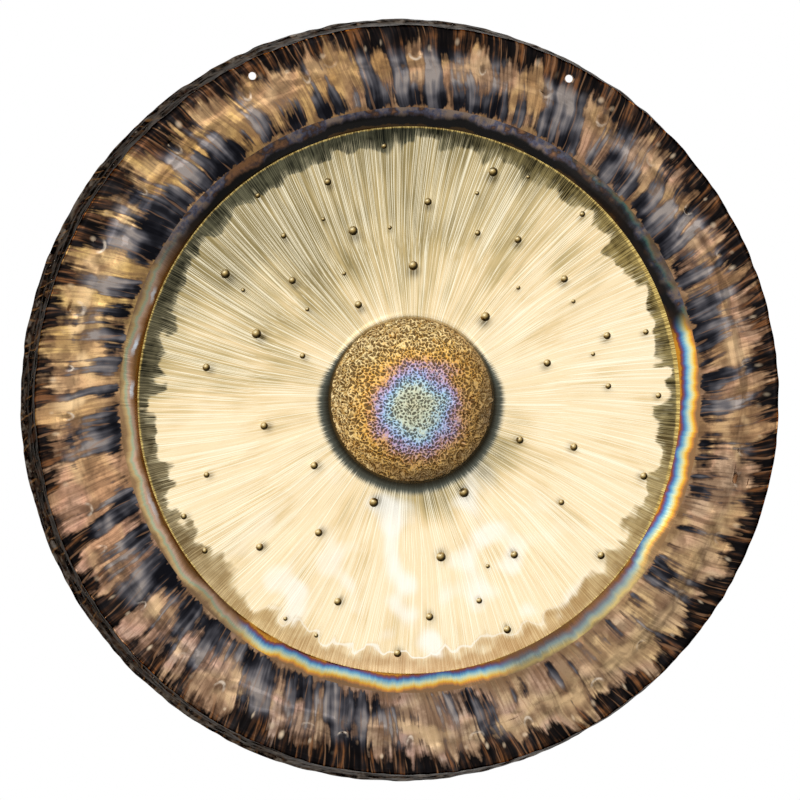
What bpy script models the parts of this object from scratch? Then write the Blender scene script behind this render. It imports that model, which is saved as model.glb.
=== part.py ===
"""Hammered bronze tam-tam, 800 mm across, hung from two holes near its top.

The disc stands upright with its front facing -Y. The origin is midway between the two
hanging holes, on the front of the flat land that they are drilled through. The sheet is
divided, from the centre outwards, where its shape and its finish change: each band of
the sheet is one object.
"""

import math

import bmesh
import bpy
from mathutils import Vector

MM = 0.001

# The sheet
SHEET = 1.6 * MM  # thickness of the metal
SEAM = 0.3 * MM  # clear gap between one band and the next
TURNS = 64  # flat facets round the disc

# The section, from the centre outwards. The field takes up what the others leave.
BOSS_RADIUS = 84 * MM
BOSS_CAP_RADIUS = 58 * MM  # where the gentle cap turns into the steep side
BOSS_CAP_SLOPE = math.radians(28)
BOSS_SIDE_SLOPE = math.radians(66)
MOAT_WIDTH = 11 * MM  # smooth hollow round the foot of the boss
FIELD_FALL = 2 * MM  # the field leans back by this much towards its edge
BORDER_WIDTH = 12 * MM  # grooved edge of the field, dished up towards the front
BORDER_SLOPE = math.radians(20)
CHANNEL_WIDTH = 19 * MM
CHANNEL_SLOPE = math.radians(42)  # where the channel rises from the border
RISE_WIDTH = 28 * MM  # from the channel's outer edge to the highest line of the crown
RISE_HEIGHT = 5.4 * MM
FALL_WIDTH = 34 * MM  # from the highest line of the crown to the flat land
FALL_HEIGHT = 12 * MM
LAND_WIDTH = 15 * MM
ROLL_WIDTH = 9.5 * MM  # round-over from the land into the side wall
WALL_WIDTH = 11.5 * MM  # the wall flares outwards by this much
EDGE_RADIUS = 400 * MM  # rear edge, the widest line of the disc
WALL_DEPTH = 67 * MM  # from the round-over to the rear edge
WALL_CURL = math.radians(8)  # the wall flares more towards the rear, by this much

# The hanging holes, through the land
HOLE_RADIUS = 4 * MM
HOLE_INSET = 8 * MM  # from the inner edge of the land to the middle of a hole
HOLE_SPACING = 330 * MM
HOLE_SIDES = 24
DRILL_LENGTH = 12 * MM

# Raised points, punched forward out of the field
BIG = 4.0 * MM  # radius of a point
MIDDLE = 3.2 * MM
SMALL = 2.5 * MM
TINY = 1.8 * MM
POINT_HEIGHT = 0.7  # height of a point as a share of its radius
POINT_SIDES = 6
POINT_RINGS = 4

# Where they are: how far across the field, from 0 at its inner edge to 1 at its outer
# edge, then the clock angle in degrees from the top, then the size
RAISED_POINTS = [
    (0.25, 1, BIG),
    (0.63, 5, MIDDLE),
    (0.74, 18, TINY),
    (0.89, 20, BIG),
    (0.52, 22, SMALL),
    (0.95, 28, TINY),
    (0.60, 34, MIDDLE),
    (0.12, 42, BIG),
    (0.96, 43, SMALL),
    (0.38, 44, TINY),
    (0.62, 52, MIDDLE),
    (0.59, 59, TINY),
    (0.69, 72, MIDDLE),
    (0.92, 74, SMALL),
    (0.30, 75, MIDDLE),
    (0.58, 76, TINY),
    (0.64, 86, SMALL),
    (0.94, 89, SMALL),
    (0.47, 106, MIDDLE),
    (0.92, 108, MIDDLE),
    (0.15, 110, MIDDLE),
    (0.54, 124, SMALL),
    (0.92, 129, MIDDLE),
    (0.56, 146, MIDDLE),
    (0.09, 150, BIG),
    (0.54, 155, TINY),
    (0.93, 157, MIDDLE),
    (0.71, 161, SMALL),
    (0.40, 169, BIG),
    (0.74, 175, MIDDLE),
    (0.95, 183, MIDDLE),
    (0.10, 200, BIG),
    (0.72, 200, MIDDLE),
    (0.95, 202, TINY),
    (0.94, 210, TINY),
    (0.41, 215, MIDDLE),
    (0.70, 226, MIDDLE),
    (0.96, 234, SMALL),
    (0.15, 236, MIDDLE),
    (0.96, 243, SMALL),
    (0.74, 250, SMALL),
    (0.34, 260, MIDDLE),
    (0.68, 279, MIDDLE),
    (0.15, 292, SMALL),
    (0.45, 293, BIG),
    (0.64, 303, TINY),
    (0.78, 304, BIG),
    (0.27, 311, TINY),
    (0.45, 315, MIDDLE),
    (0.68, 322, SMALL),
    (0.96, 323, SMALL),
    (0.10, 331, MIDDLE),
    (0.30, 332, TINY),
    (0.64, 334, TINY),
    (0.83, 339, MIDDLE),
    (0.51, 341, BIG),
    (0.48, 353, TINY),
    (0.96, 354, SMALL),
]

# Radii that follow from the widths
FIELD_INNER = BOSS_RADIUS + MOAT_WIDTH
LAND_INNER = EDGE_RADIUS - WALL_WIDTH - ROLL_WIDTH - LAND_WIDTH
FIELD_OUTER = LAND_INNER - FALL_WIDTH - RISE_WIDTH - CHANNEL_WIDTH - BORDER_WIDTH

# Flat facets across the curved stretches of the section
CAP_FACETS = 3
SIDE_FACETS = 4
MOAT_FACETS = 3
FIELD_FACETS = 2
BORDER_FACETS = 2
CHANNEL_FACETS = 3
CROWN_FACETS = 2
ROLL_FACETS = 3
WALL_FACETS = 3
SHARP_ANGLE = math.radians(35)  # edges at least this sharp aren't shaded round
MERGE_DISTANCE = 0.01 * MM
NOTHING = 1e-9  # smaller than any length or slope of the section


def clear_scene():
    """Removes every object, so that the script can be run again."""
    for old in list(bpy.data.objects):
        bpy.data.objects.remove(old)


def new_collection(name):
    collection = bpy.data.collections.new(name)
    bpy.context.scene.collection.children.link(collection)
    return collection


def bronze(name, colour, roughness):
    material = bpy.data.materials.new(name)
    material.use_nodes = True
    shader = material.node_tree.nodes["Principled BSDF"]
    shader.inputs["Base Color"].default_value = (*colour, 1.0)
    shader.inputs["Roughness"].default_value = roughness
    shader.inputs["Metallic"].default_value = 1.0
    return material


def bend(start, run, slope_in, slope_out, facets):
    """Points after start along a circular arc of the section, as (radius, height).

    The arc moves outwards by run while its slope goes from slope_in to slope_out.
    Equal slopes give a straight line.
    """
    turn = math.sin(slope_out) - math.sin(slope_in)
    points = []
    for step in range(1, facets + 1):
        share = step / facets
        if abs(turn) < NOTHING:
            points.append(start + Vector((run * share, run * share * math.tan(slope_in))))
            continue
        slope = slope_in + (slope_out - slope_in) * share
        across = math.sin(slope) - math.sin(slope_in)
        up = math.cos(slope_in) - math.cos(slope)
        points.append(start + Vector((across, up)) * (run / turn))
    return points


def front_line():
    """The front of the sheet from the centre outwards, as {band name: points}.

    Each band starts on the last point of the one before. Heights are moved at the end
    so that the land lies at height 0.
    """
    field_run = FIELD_OUTER - FIELD_INNER
    field_slope = -2 * math.atan(FIELD_FALL / field_run)
    rise_slope = 2 * math.atan(RISE_HEIGHT / RISE_WIDTH)
    fall_slope = -2 * math.atan(FALL_HEIGHT / FALL_WIDTH)
    wall_slope = -math.atan2(WALL_DEPTH, WALL_WIDTH)
    wall_start = wall_slope - WALL_CURL / 2
    wall_end = wall_slope + WALL_CURL / 2

    # Each arc is (run, slope where it starts, slope where it ends, facets)
    arcs_of_bands = {
        "centre_boss": [
            (BOSS_CAP_RADIUS, 0, -BOSS_CAP_SLOPE, CAP_FACETS),
            (BOSS_RADIUS - BOSS_CAP_RADIUS, -BOSS_CAP_SLOPE, -BOSS_SIDE_SLOPE, SIDE_FACETS),
        ],
        "boss_moat": [(MOAT_WIDTH, -BOSS_SIDE_SLOPE, 0, MOAT_FACETS)],
        "striking_field": [(field_run, 0, field_slope, FIELD_FACETS)],
        "field_border": [(BORDER_WIDTH, field_slope, BORDER_SLOPE, BORDER_FACETS)],
        "tinted_channel": [(CHANNEL_WIDTH, CHANNEL_SLOPE, rise_slope, CHANNEL_FACETS)],
        "rim_crown": [
            (RISE_WIDTH, rise_slope, 0, CROWN_FACETS),
            (FALL_WIDTH / 2, 0, fall_slope, CROWN_FACETS),
            (FALL_WIDTH / 2, fall_slope, 0, CROWN_FACETS),
        ],
        "hanging_shoulder": [
            (LAND_WIDTH, 0, 0, 1),
            (ROLL_WIDTH, 0, wall_start, ROLL_FACETS),
        ],
        "side_wall": [(WALL_WIDTH, wall_start, wall_end, WALL_FACETS)],
    }
    bands = {}
    last = Vector((0.0, 0.0))
    for name, arcs in arcs_of_bands.items():
        points = [last]
        for arc in arcs:
            points += bend(points[-1], *arc)
        bands[name] = points
        last = points[-1]

    land = Vector((0.0, bands["hanging_shoulder"][0].y))
    return {name: [point - land for point in points] for name, points in bands.items()}


def point_behind(point, before, after):
    """The back of the sheet at point, on the mitre line of the facets that meet there."""
    normals = []
    for first, second in ((before, point), (point, after)):
        along = (second - first).normalized()
        normals.append(Vector((-along.y, along.x)))
    middle = (normals[0] + normals[1]).normalized()
    return point - middle * (SHEET / middle.dot(normals[0]))


def band_outlines(bands):
    """Each band as a closed outline: outwards along its front, then back behind it.

    Half a seam is left clear at each end where another band follows.
    """
    front = [bands["centre_boss"][0]]
    for points in bands.values():
        front += points[1:]
    across_axis = Vector((-front[1].x, front[1].y))
    past_edge = 2 * front[-1] - front[-2]
    behind = [
        point_behind(point, before, after)
        for before, point, after in zip([across_axis] + front, front, front[1:] + [past_edge])
    ]
    wall_along = (front[-1] - front[-2]).normalized()
    behind[-1] = front[-1] - Vector((SHEET / abs(wall_along.y), 0.0))  # the rear edge is flat

    outlines = {}
    first = 0
    for name, points in bands.items():
        last = first + len(points) - 1
        face = [point.copy() for point in front[first : last + 1]]
        back = [point.copy() for point in behind[first : last + 1]]
        if first > 0:
            inward = (face[1] - face[0]).normalized() * (SEAM / 2)
            face[0] += inward
            back[0] += inward
        if last < len(front) - 1:
            outward = (face[-1] - face[-2]).normalized() * (SEAM / 2)
            face[-1] -= outward
            back[-1] -= outward
        outlines[name] = face + back[::-1]
        first = last
    return outlines


def turned_band(name, outline, material, collection, centre):
    """Turns a closed outline round the disc's axis, as a mesh with rounded shading."""
    reaches_axis = outline[0].x < NOTHING
    count = len(outline)
    edges = [(i, (i + 1) % count) for i in range(count - reaches_axis)]
    profile = bpy.data.meshes.new(name + "_profile")
    profile.from_pydata([(point.x, 0.0, point.y) for point in outline], edges, [])
    band = bpy.data.objects.new(name, profile)
    collection.objects.link(band)
    screw = band.modifiers.new("turn", "SCREW")
    screw.axis = "Z"
    screw.angle = 2 * math.pi
    screw.steps = TURNS
    screw.render_steps = TURNS
    screw.use_merge_vertices = True
    screw.merge_threshold = MERGE_DISTANCE

    turned = band.evaluated_get(bpy.context.evaluated_depsgraph_get())
    band.data = bpy.data.meshes.new_from_object(turned)
    band.data.name = name
    band.modifiers.clear()
    bpy.data.meshes.remove(profile)
    band.data.materials.append(material)
    band.data.shade_smooth()
    band.data.set_sharp_from_angle(angle=SHARP_ANGLE)
    band.parent = centre
    return band


def tool(name, shape, collection, centre):
    """A hidden solid that a band is cut by or joined with."""
    mesh = bpy.data.meshes.new(name)
    shape.to_mesh(mesh)
    shape.free()
    solid = bpy.data.objects.new(name, mesh)
    collection.objects.link(solid)
    solid.parent = centre
    solid.hide_render = True
    solid.display_type = "WIRE"
    return solid


def hole_height():
    """How far the hanging holes are above the disc's centre."""
    return math.sqrt((LAND_INNER + HOLE_INSET) ** 2 - (HOLE_SPACING / 2) ** 2)


def hole_drills(collection, centre):
    """Two round drills through the land, one each side of the top."""
    shape = bmesh.new()
    for side in (-1, 1):
        drill = bmesh.ops.create_cone(
            shape,
            cap_ends=True,
            segments=HOLE_SIDES,
            radius1=HOLE_RADIUS,
            radius2=HOLE_RADIUS,
            depth=DRILL_LENGTH,
        )
        place = (side * HOLE_SPACING / 2, hole_height(), 0)
        bmesh.ops.translate(shape, verts=drill["verts"], vec=place)
    return tool("hole_drills", shape, collection, centre)


def height_on(points, radius):
    """Height of a line of (radius, height) points at a given radius."""
    for before, after in zip(points, points[1:]):
        if radius <= after.x:
            share = (radius - before.x) / (after.x - before.x)
            return before.y + share * (after.y - before.y)
    return points[-1].y


def raised_points(field, collection, centre):
    """Low domes rooted in the field's front, each pressed flat inside the sheet."""
    shape = bmesh.new()
    inner = field[0].x
    width = field[-1].x - inner
    for across, clock, size in RAISED_POINTS:
        dome = bmesh.ops.create_uvsphere(
            shape, u_segments=POINT_SIDES, v_segments=POINT_RINGS, radius=size
        )
        bmesh.ops.scale(shape, verts=dome["verts"], vec=(1, 1, POINT_HEIGHT))
        for vert in dome["verts"]:
            vert.co.z = max(vert.co.z, -SHEET / 2)
        radius = inner + across * width
        angle = math.radians(clock)
        place = (radius * math.sin(angle), radius * math.cos(angle), height_on(field, radius))
        bmesh.ops.translate(shape, verts=dome["verts"], vec=place)
    return tool("raised_points", shape, collection, centre)


def combine(band, operation, solid):
    change = band.modifiers.new(operation.lower(), "BOOLEAN")
    change.operation = operation
    change.solver = "EXACT"
    change.object = solid


def build():
    clear_scene()
    parts = new_collection("tam_tam")
    tools = new_collection("tools")

    centre = bpy.data.objects.new("disc_centre", None)
    parts.objects.link(centre)
    centre.location = (0, 0, -hole_height())
    centre.rotation_euler = (math.pi / 2, 0, 0)  # turns the front to face -Y

    finishes = {
        "centre_boss": bronze("chased_bronze", (0.40, 0.29, 0.13), 0.45),
        "boss_moat": bronze("smoked_bronze", (0.20, 0.18, 0.13), 0.30),
        "striking_field": bronze("brushed_bronze", (0.86, 0.76, 0.54), 0.30),
        "field_border": bronze("grooved_bronze", (0.22, 0.21, 0.15), 0.35),
        "tinted_channel": bronze("tinted_bronze", (0.34, 0.38, 0.42), 0.20),
        "rim_crown": bronze("streaked_bronze", (0.24, 0.16, 0.11), 0.30),
        "hanging_shoulder": bronze("dark_bronze", (0.13, 0.09, 0.06), 0.35),
        "side_wall": bronze("wall_bronze", (0.11, 0.09, 0.07), 0.45),
    }

    front = front_line()
    bands = {}
    for name, outline in band_outlines(front).items():
        bands[name] = turned_band(name, outline, finishes[name], parts, centre)

    combine(bands["hanging_shoulder"], "DIFFERENCE", hole_drills(tools, centre))
    field = front["striking_field"]
    combine(bands["striking_field"], "UNION", raised_points(field, tools, centre))


build()
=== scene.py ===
# %% [markdown]
# # A hammered bronze tam-tam
#
# The disc is one sheet of bronze, 800 mm across. From the centre outwards it has a domed
# boss, a dark hollow, a bright field scratched outwards with a wire brush, a scalloped edge,
# a channel tinted by heat, a rounded rim with smoky streaks, a dented shoulder and a wall.
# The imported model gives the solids. This script draws the same sheet finely, band by band.

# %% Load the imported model
import math

import bpy
import numpy as np
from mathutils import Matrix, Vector


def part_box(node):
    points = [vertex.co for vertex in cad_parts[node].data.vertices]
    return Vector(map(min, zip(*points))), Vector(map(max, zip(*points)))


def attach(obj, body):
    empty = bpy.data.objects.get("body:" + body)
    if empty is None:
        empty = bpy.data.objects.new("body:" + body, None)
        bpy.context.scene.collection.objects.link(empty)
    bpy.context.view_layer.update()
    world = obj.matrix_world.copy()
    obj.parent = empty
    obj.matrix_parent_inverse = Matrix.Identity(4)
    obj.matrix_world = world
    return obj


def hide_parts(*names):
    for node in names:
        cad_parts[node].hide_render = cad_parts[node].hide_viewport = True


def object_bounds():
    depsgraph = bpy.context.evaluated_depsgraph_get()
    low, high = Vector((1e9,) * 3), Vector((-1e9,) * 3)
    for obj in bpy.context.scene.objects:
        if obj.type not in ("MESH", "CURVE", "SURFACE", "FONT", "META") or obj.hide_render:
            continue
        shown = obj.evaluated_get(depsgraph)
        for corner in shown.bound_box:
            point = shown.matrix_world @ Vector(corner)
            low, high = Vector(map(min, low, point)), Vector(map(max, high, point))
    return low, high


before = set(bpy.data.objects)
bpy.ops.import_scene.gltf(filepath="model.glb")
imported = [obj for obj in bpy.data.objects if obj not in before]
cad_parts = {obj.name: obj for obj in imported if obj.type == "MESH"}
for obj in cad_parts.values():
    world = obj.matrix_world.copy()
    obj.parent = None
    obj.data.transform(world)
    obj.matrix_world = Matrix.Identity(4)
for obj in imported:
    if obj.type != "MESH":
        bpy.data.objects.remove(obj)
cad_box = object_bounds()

print("bands of the sheet:", ", ".join(sorted(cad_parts)))

# %% [markdown]
# ## The measures of the sheet
#
# The real sheet was beaten over forms, so its section is a chain of smooth arcs. These are the
# sizes that the solids were built from. Written once, they also place every finish. The next
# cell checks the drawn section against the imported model.

# %% The measures
MM = 0.001
SHEET = 1.6 * MM
BOSS_CAP, BOSS_FLANK, MOAT_WIDTH = 58 * MM, 26 * MM, 11 * MM
BORDER_WIDTH, CHANNEL_WIDTH = 12 * MM, 19 * MM
FIELD_FALL, CREST_RISE, CREST_FALL = 2 * MM, 5.4 * MM, 6 * MM
HOLE_RADIUS = 4 * MM
HOLE_CIRCLE = 372 * MM
HOLE_SPACING = 330 * MM
CENTRE_Z = -math.sqrt(HOLE_CIRCLE**2 - (HOLE_SPACING / 2) ** 2)
FIELD_INNER = 95 * MM
FIELD_OUTER = 271 * MM
CHANNEL_OUTER = 302 * MM
CREST_RADIUS = 330 * MM
LAND_INNER = 364 * MM
LAND_OUTER = 379 * MM
WALL_INNER = 388.5 * MM
EDGE_RADIUS = 400 * MM
WALL_DEPTH = 67 * MM


def rise_slope(rise, run):
    """Slope at the steep end of an arc that is level at its other end."""
    return 2 * math.atan(rise / run)


WALL_SLOPE = -math.atan2(WALL_DEPTH, EDGE_RADIUS - WALL_INNER)
HALF_CURL = math.radians(4)
CROWN_SLOPE = rise_slope(CREST_RISE, CREST_RADIUS - CHANNEL_OUTER)
FALL_RUN = (LAND_INNER - CREST_RADIUS) / 2
FALL_SLOPE = -rise_slope(CREST_FALL, FALL_RUN)
FIELD_SLOPE = -rise_slope(FIELD_FALL, FIELD_OUTER - FIELD_INNER)
CAP_SLOPE, SIDE_SLOPE = math.radians(-28), math.radians(-66)
BORDER_SLOPE, CHANNEL_SLOPE = math.radians(20), math.radians(42)

# Each arc of the section: the band it is in, how far out it goes, its first and last slope
ARCS = [
    ("centre_boss", BOSS_CAP, 0, CAP_SLOPE),
    ("centre_boss", BOSS_FLANK, CAP_SLOPE, SIDE_SLOPE),
    ("boss_moat", MOAT_WIDTH, SIDE_SLOPE, 0),
    ("striking_field", FIELD_OUTER - FIELD_INNER, 0, FIELD_SLOPE),
    ("field_border", BORDER_WIDTH, FIELD_SLOPE, BORDER_SLOPE),
    ("tinted_channel", CHANNEL_WIDTH, CHANNEL_SLOPE, CROWN_SLOPE),
    ("rim_crown", CREST_RADIUS - CHANNEL_OUTER, CROWN_SLOPE, 0),
    ("rim_crown", FALL_RUN, 0, FALL_SLOPE),
    ("rim_crown", FALL_RUN, FALL_SLOPE, 0),
    ("hanging_shoulder", LAND_OUTER - LAND_INNER, 0, 0),
    ("hanging_shoulder", WALL_INNER - LAND_OUTER, 0, WALL_SLOPE - HALF_CURL),
    ("side_wall", EDGE_RADIUS - WALL_INNER, WALL_SLOPE - HALF_CURL, WALL_SLOPE + HALF_CURL),
]
print(f"{len(ARCS)} arcs, centre of the disc at z = {CENTRE_Z:.4f} m")

# %% [markdown]
# ## The section as three curves
#
# A turned shape is easiest to dent and scratch when it is known by two numbers: how far
# along the sheet a place is from the centre, and its clock angle. So the section is worked
# out once as radius, height and slope against the distance along the sheet.

# %% The section
STEP = 0.25 * MM


def arc_points(run, slope_in, slope_out):
    """Offsets along a circular arc, as arrays of across, up and slope.

    With slope a going to b over the run w, the radius is w / (sin b - sin a), across is that
    radius times (sin s - sin a), and up is that radius times (cos a - cos s).
    """
    slope = np.linspace(slope_in, slope_out, max(2, int(run / STEP) + 1))
    turn = math.sin(slope_out) - math.sin(slope_in)
    if turn == 0:
        across = np.linspace(0, run, slope.size)
        return across, across * math.tan(slope_in), slope
    radius = run / turn
    return (
        radius * (np.sin(slope) - math.sin(slope_in)),
        radius * (math.cos(slope_in) - np.cos(slope)),
        slope,
    )


radii, heights, slopes, ends = [], [], [], {}
at_radius = at_height = 0.0
for band, run, slope_in, slope_out in ARCS:
    across, up, slope = arc_points(run, slope_in, slope_out)
    radii.append(at_radius + across)
    heights.append(at_height + up)
    slopes.append(slope)
    at_radius, at_height = radii[-1][-1], heights[-1][-1]
    first, _ = ends.get(band, (sum(len(part) for part in radii[:-1]), 0))
    ends[band] = (first, sum(len(part) for part in radii) - 1)

section_radius = np.concatenate(radii)
section_height = np.concatenate(heights)
section_slope = np.concatenate(slopes)
section_height -= section_height[ends["hanging_shoulder"][0]]
steps = np.hypot(np.diff(section_radius), np.diff(section_height))
section_along = np.concatenate([[0.0], np.cumsum(np.maximum(steps, 1e-9))])
BAND = {name: (section_along[a], section_along[b]) for name, (a, b) in ends.items()}
for name, (start, end) in BAND.items():
    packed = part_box(name)[1][0]
    drawn = np.interp(end, section_along, section_radius)
    print(f"{name}: {start:.4f} to {end:.4f} m along, off by {drawn - packed:.5f} m")


def place(along, clock, lift):
    """Points of the sheet, lifted off the section along its own normal.

    The radius is r - lift * sin(slope) and the height h + lift * cos(slope). The front
    faces -Y, so y is minus the height. The clock angle runs clockwise from the top.
    """
    slope = np.interp(along, section_along, section_slope)
    radius = np.interp(along, section_along, section_radius) - lift * np.sin(slope)
    height = np.interp(along, section_along, section_height) + lift * np.cos(slope)
    points = (radius * np.sin(clock), -height, CENTRE_Z + radius * np.cos(clock))
    return np.stack(np.broadcast_arrays(*points), axis=-1)


# %% [markdown]
# ## Random but smooth
#
# Hammer work is random, but it has a size. Python reads Blender's own noise one point at a time,
# which is slow for half a million points. So two tools are written here for whole arrays: noise
# on a lattice, for waves and creases, and scattered points, for the round marks of a hammer's
# face. Both are seeded, so that each run gives the same disc.

# %% Noise and scattered points
LATTICE = 64


def smooth_step(low, high, value):
    """0 below low and 1 above high, eased by 3t^2 - 2t^3 between them."""
    t = np.clip((value - low) / (high - low), 0, 1)
    return t * t * (3 - 2 * t)


def noise(x, y, z, seed):
    """Random numbers from -1 to 1 on a unit lattice, eased between its eight corners.

    The ease is 6t^5 - 15t^4 + 10t^3, whose bend is 0 at both ends, so that no line of
    corners shows in a reflection.
    """
    table = np.random.default_rng(seed).uniform(-1, 1, (LATTICE, LATTICE, LATTICE))
    corner = [np.floor(v).astype(int) for v in (x, y, z)]
    part = [v - c for v, c in zip((x, y, z), corner)]
    part = [t**3 * (t * (6 * t - 15) + 10) for t in part]
    total = 0
    for i in (0, 1):
        for j in (0, 1):
            for k in (0, 1):
                at = [(c + o) % LATTICE for c, o in zip(corner, (i, j, k))]
                near = [p if o else 1 - p for p, o in zip(part, (i, j, k))]
                total = total + table[at[0], at[1], at[2]] * near[0] * near[1] * near[2]
    return total


def waves(along, clock, layers):
    """The sum of layers of noise on the sheet. Each is (height, width, length in mm, seed).

    The clock angle goes round a circle in the lattice, so the pattern closes on itself.
    The width is measured at the crest of the rim.
    """
    total = 0
    for height, wide, long, seed in layers:
        ring = CREST_RADIUS / (wide * MM)
        lumps = noise(ring * np.sin(clock), ring * np.cos(clock), along / (long * MM), seed)
        total = total + height * lumps
    return total


def scattered(u, v, seed, wrap):
    """Distances to the nearest and second nearest of points, one scattered in each square.

    The pattern repeats after wrap squares along u.
    """
    table = np.random.default_rng(seed).random((wrap, LATTICE, 2))
    square_u, square_v = np.floor(u).astype(int), np.floor(v).astype(int)
    first = np.full(np.broadcast(u, v).shape, 9.0)
    second = first.copy()
    for step_u in (-1, 0, 1):
        for step_v in (-1, 0, 1):
            at = table[(square_u + step_u) % wrap, (square_v + step_v) % LATTICE]
            distance = np.hypot(square_u + step_u + at[..., 0] - u, square_v + step_v + at[..., 1] - v)
            second = np.minimum(second, np.maximum(first, distance))
            first = np.minimum(first, distance)
    return first, second


def window(along, low, high, ease):
    """1 from low to high, easing to 0 outside them."""
    return smooth_step(low - ease, low, along) * (1 - smooth_step(high, high + ease, along))


print(f"noise tables of {LATTICE} numbers a side")

# %% [markdown]
# ## Raised points
#
# The maker punched small points out of the field. They lie where the maker liked, so they are
# listed one by one, each by how far across the field it is, its clock angle in degrees and
# its radius. They come before the relief, because the sheet swells round each of them.

# %% Where the points are
BIG, MIDDLE, SMALL, TINY = 4.0 * MM, 3.2 * MM, 2.5 * MM, 1.8 * MM
# For each size: how far across the field in percent, and the clock angle in degrees
POINTS = {
    BIG: [
        (25, 1), (89, 20), (12, 42), (9, 150), (40, 169), (10, 200), (45, 293), (78, 304), (51, 341),
    ],
    MIDDLE: [
        (63, 5), (60, 34), (62, 52), (69, 72), (30, 75), (47, 106), (92, 108), (15, 110), (92, 129),
        (56, 146), (93, 157), (74, 175), (95, 183), (72, 200), (41, 215), (70, 226), (15, 236),
        (34, 260), (68, 279), (45, 315), (10, 331), (83, 339),
    ],
    SMALL: [
        (52, 22), (96, 43), (92, 74), (64, 86), (94, 89), (54, 124), (71, 161), (96, 234), (96, 243),
        (74, 250), (15, 292), (68, 322), (96, 323), (96, 354),
    ],
    TINY: [
        (74, 18), (95, 28), (38, 44), (59, 59), (58, 76), (54, 155), (95, 202), (94, 210), (64, 303),
        (27, 311), (30, 332), (64, 334), (48, 353),
    ],
}
listed = sorted((angle, percent / 100, size) for size, spots in POINTS.items() for percent, angle in spots)
clock_degrees, across, point_size = np.array(listed).T
field_start, field_end = BAND["striking_field"]
point_along = field_start + across * (field_end - field_start)
point_clock = np.radians(clock_degrees)
print(len(listed), "raised points")

# %% [markdown]
# ## The relief of the sheet
#
# The dents could be sculpted band by band, but then the seams would show. So one function will
# say how far the metal stands off its section at every place, and each band is a slice of the
# same sheet. Lifts are in metres, towards the front. The first relief is the net on the boss,
# which the maker chased with a small punch, leaving ridges between the pits.

# %% The relief of the boss
BOSS_END = BAND["centre_boss"][1]
NET_CELL, NET_BEND, LUMP, KNOB = 3.3 * MM, 6 * MM, 20 * MM, 6 * MM


def laid_flat(along, clock):
    """Where a place of the boss would lie if the boss were pressed flat, right and up."""
    return along * np.sin(clock), along * np.cos(clock)


def net_pits(along, clock):
    """The boss's net: 0 on its ridges, 1 in its pits, with wider cells outwards.

    Points are scattered on the boss laid flat. A place is on a ridge where the nearest and
    the second nearest point are as far away as each other.
    """
    flat_u, flat_v = laid_flat(along, clock)
    bend_u = noise(flat_u / NET_BEND, flat_v / NET_BEND, 0 * along, 31)
    bend_v = noise(flat_u / NET_BEND, flat_v / NET_BEND, 0 * along + 5, 32)
    shrink = 1 - 0.15 * smooth_step(25 * MM, 80 * MM, along)
    u = flat_u * shrink / NET_CELL + 0.6 * bend_u
    v = flat_v * shrink / NET_CELL + 0.6 * bend_v
    first, second = scattered(u, v, 11, LATTICE)
    return smooth_step(0.05, 0.46, second - first)


def boss_fade(along, width):
    """1 over the boss, easing to 0 over the last stretch of the given width."""
    return 1 - smooth_step(BOSS_END - width, BOSS_END, along)


def boss_relief(along, clock):
    """The net's pits, with knobs between them that grow rougher down the flank."""
    flat_u, flat_v = laid_flat(along, clock)
    lumps = noise(flat_u / LUMP, flat_v / LUMP, 0 * along, 33)
    knobs = noise(flat_u / KNOB, flat_v / KNOB, 0 * along, 34)
    pits = net_pits(along, clock) * boss_fade(along, 4 * MM)
    edge = boss_fade(along, 10 * MM)
    deep = 0.7 + 0.5 * smooth_step(30 * MM, 60 * MM, along)
    rough = 2.4 * smooth_step(50 * MM, 80 * MM, along) * boss_fade(along, 3 * MM)
    return (0.4 * lumps * edge + 0.35 * (knobs - 1) * edge + rough * knobs - deep * pits) * MM


print(f"net cells of {NET_CELL / MM:.1f} mm")

# %% [markdown]
# ## The relief of the field
#
# The field was beaten flat from the front, so it rolls slowly and keeps the round marks of the
# hammer. Round each point the metal swells, where the punch pushed it up from behind. The
# narrow edge past the field was grooved outwards with a blunt tool.

# %% The relief of the field
def hammered(along, clock, wide, long, seed):
    """Overlapping round dents, deepest in their middle: the square of the distance to it."""
    count = int(2 * math.pi * CREST_RADIUS / wide)
    first, _ = scattered(clock / (2 * math.pi) * count, along / long, seed, count)
    return first**2


def field_relief(along, clock):
    """Long waves and the round marks of the hammer, fading at the field's edges."""
    rolling = waves(along, clock, ((1.0, 95, 80, 41), (0.4, 40, 35, 42)))
    dents = 1.1 * hammered(along, clock, 48 * MM, 34 * MM, 43)
    inside = window(along, field_start + 14 * MM, field_end - 4 * MM, 14 * MM)
    return (rolling + dents - 0.4) * inside * MM


MOUND_HEIGHT, MOUND_WIDTH = 0.62, 1.9


def swelling(along, clock):
    """The low mound round each raised point: a bell, exp(-d^2), nearly twice as wide as it."""
    here = place(along, clock, 0)
    lift = np.zeros(here.shape[:-1])
    for start, angle, size in zip(point_along, point_clock, point_size):
        away = np.linalg.norm(here - place(start, angle, 0), axis=-1)
        lift += MOUND_HEIGHT * size * np.exp(-((away / (MOUND_WIDTH * size)) ** 2))
    return lift


def border_relief(along, clock):
    """Fine grooves that run outwards, and wider scallops."""
    start, end = BAND["field_border"]
    grooves = waves(along, clock, ((0.14, 2.6, 40, 51), (0.3, 16, 30, 52)))
    return grooves * window(along, start - 2 * MM, end - 2 * MM, 4 * MM) * MM


print(f"mounds up to {MOUND_HEIGHT * BIG / MM:.1f} mm high")
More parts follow.
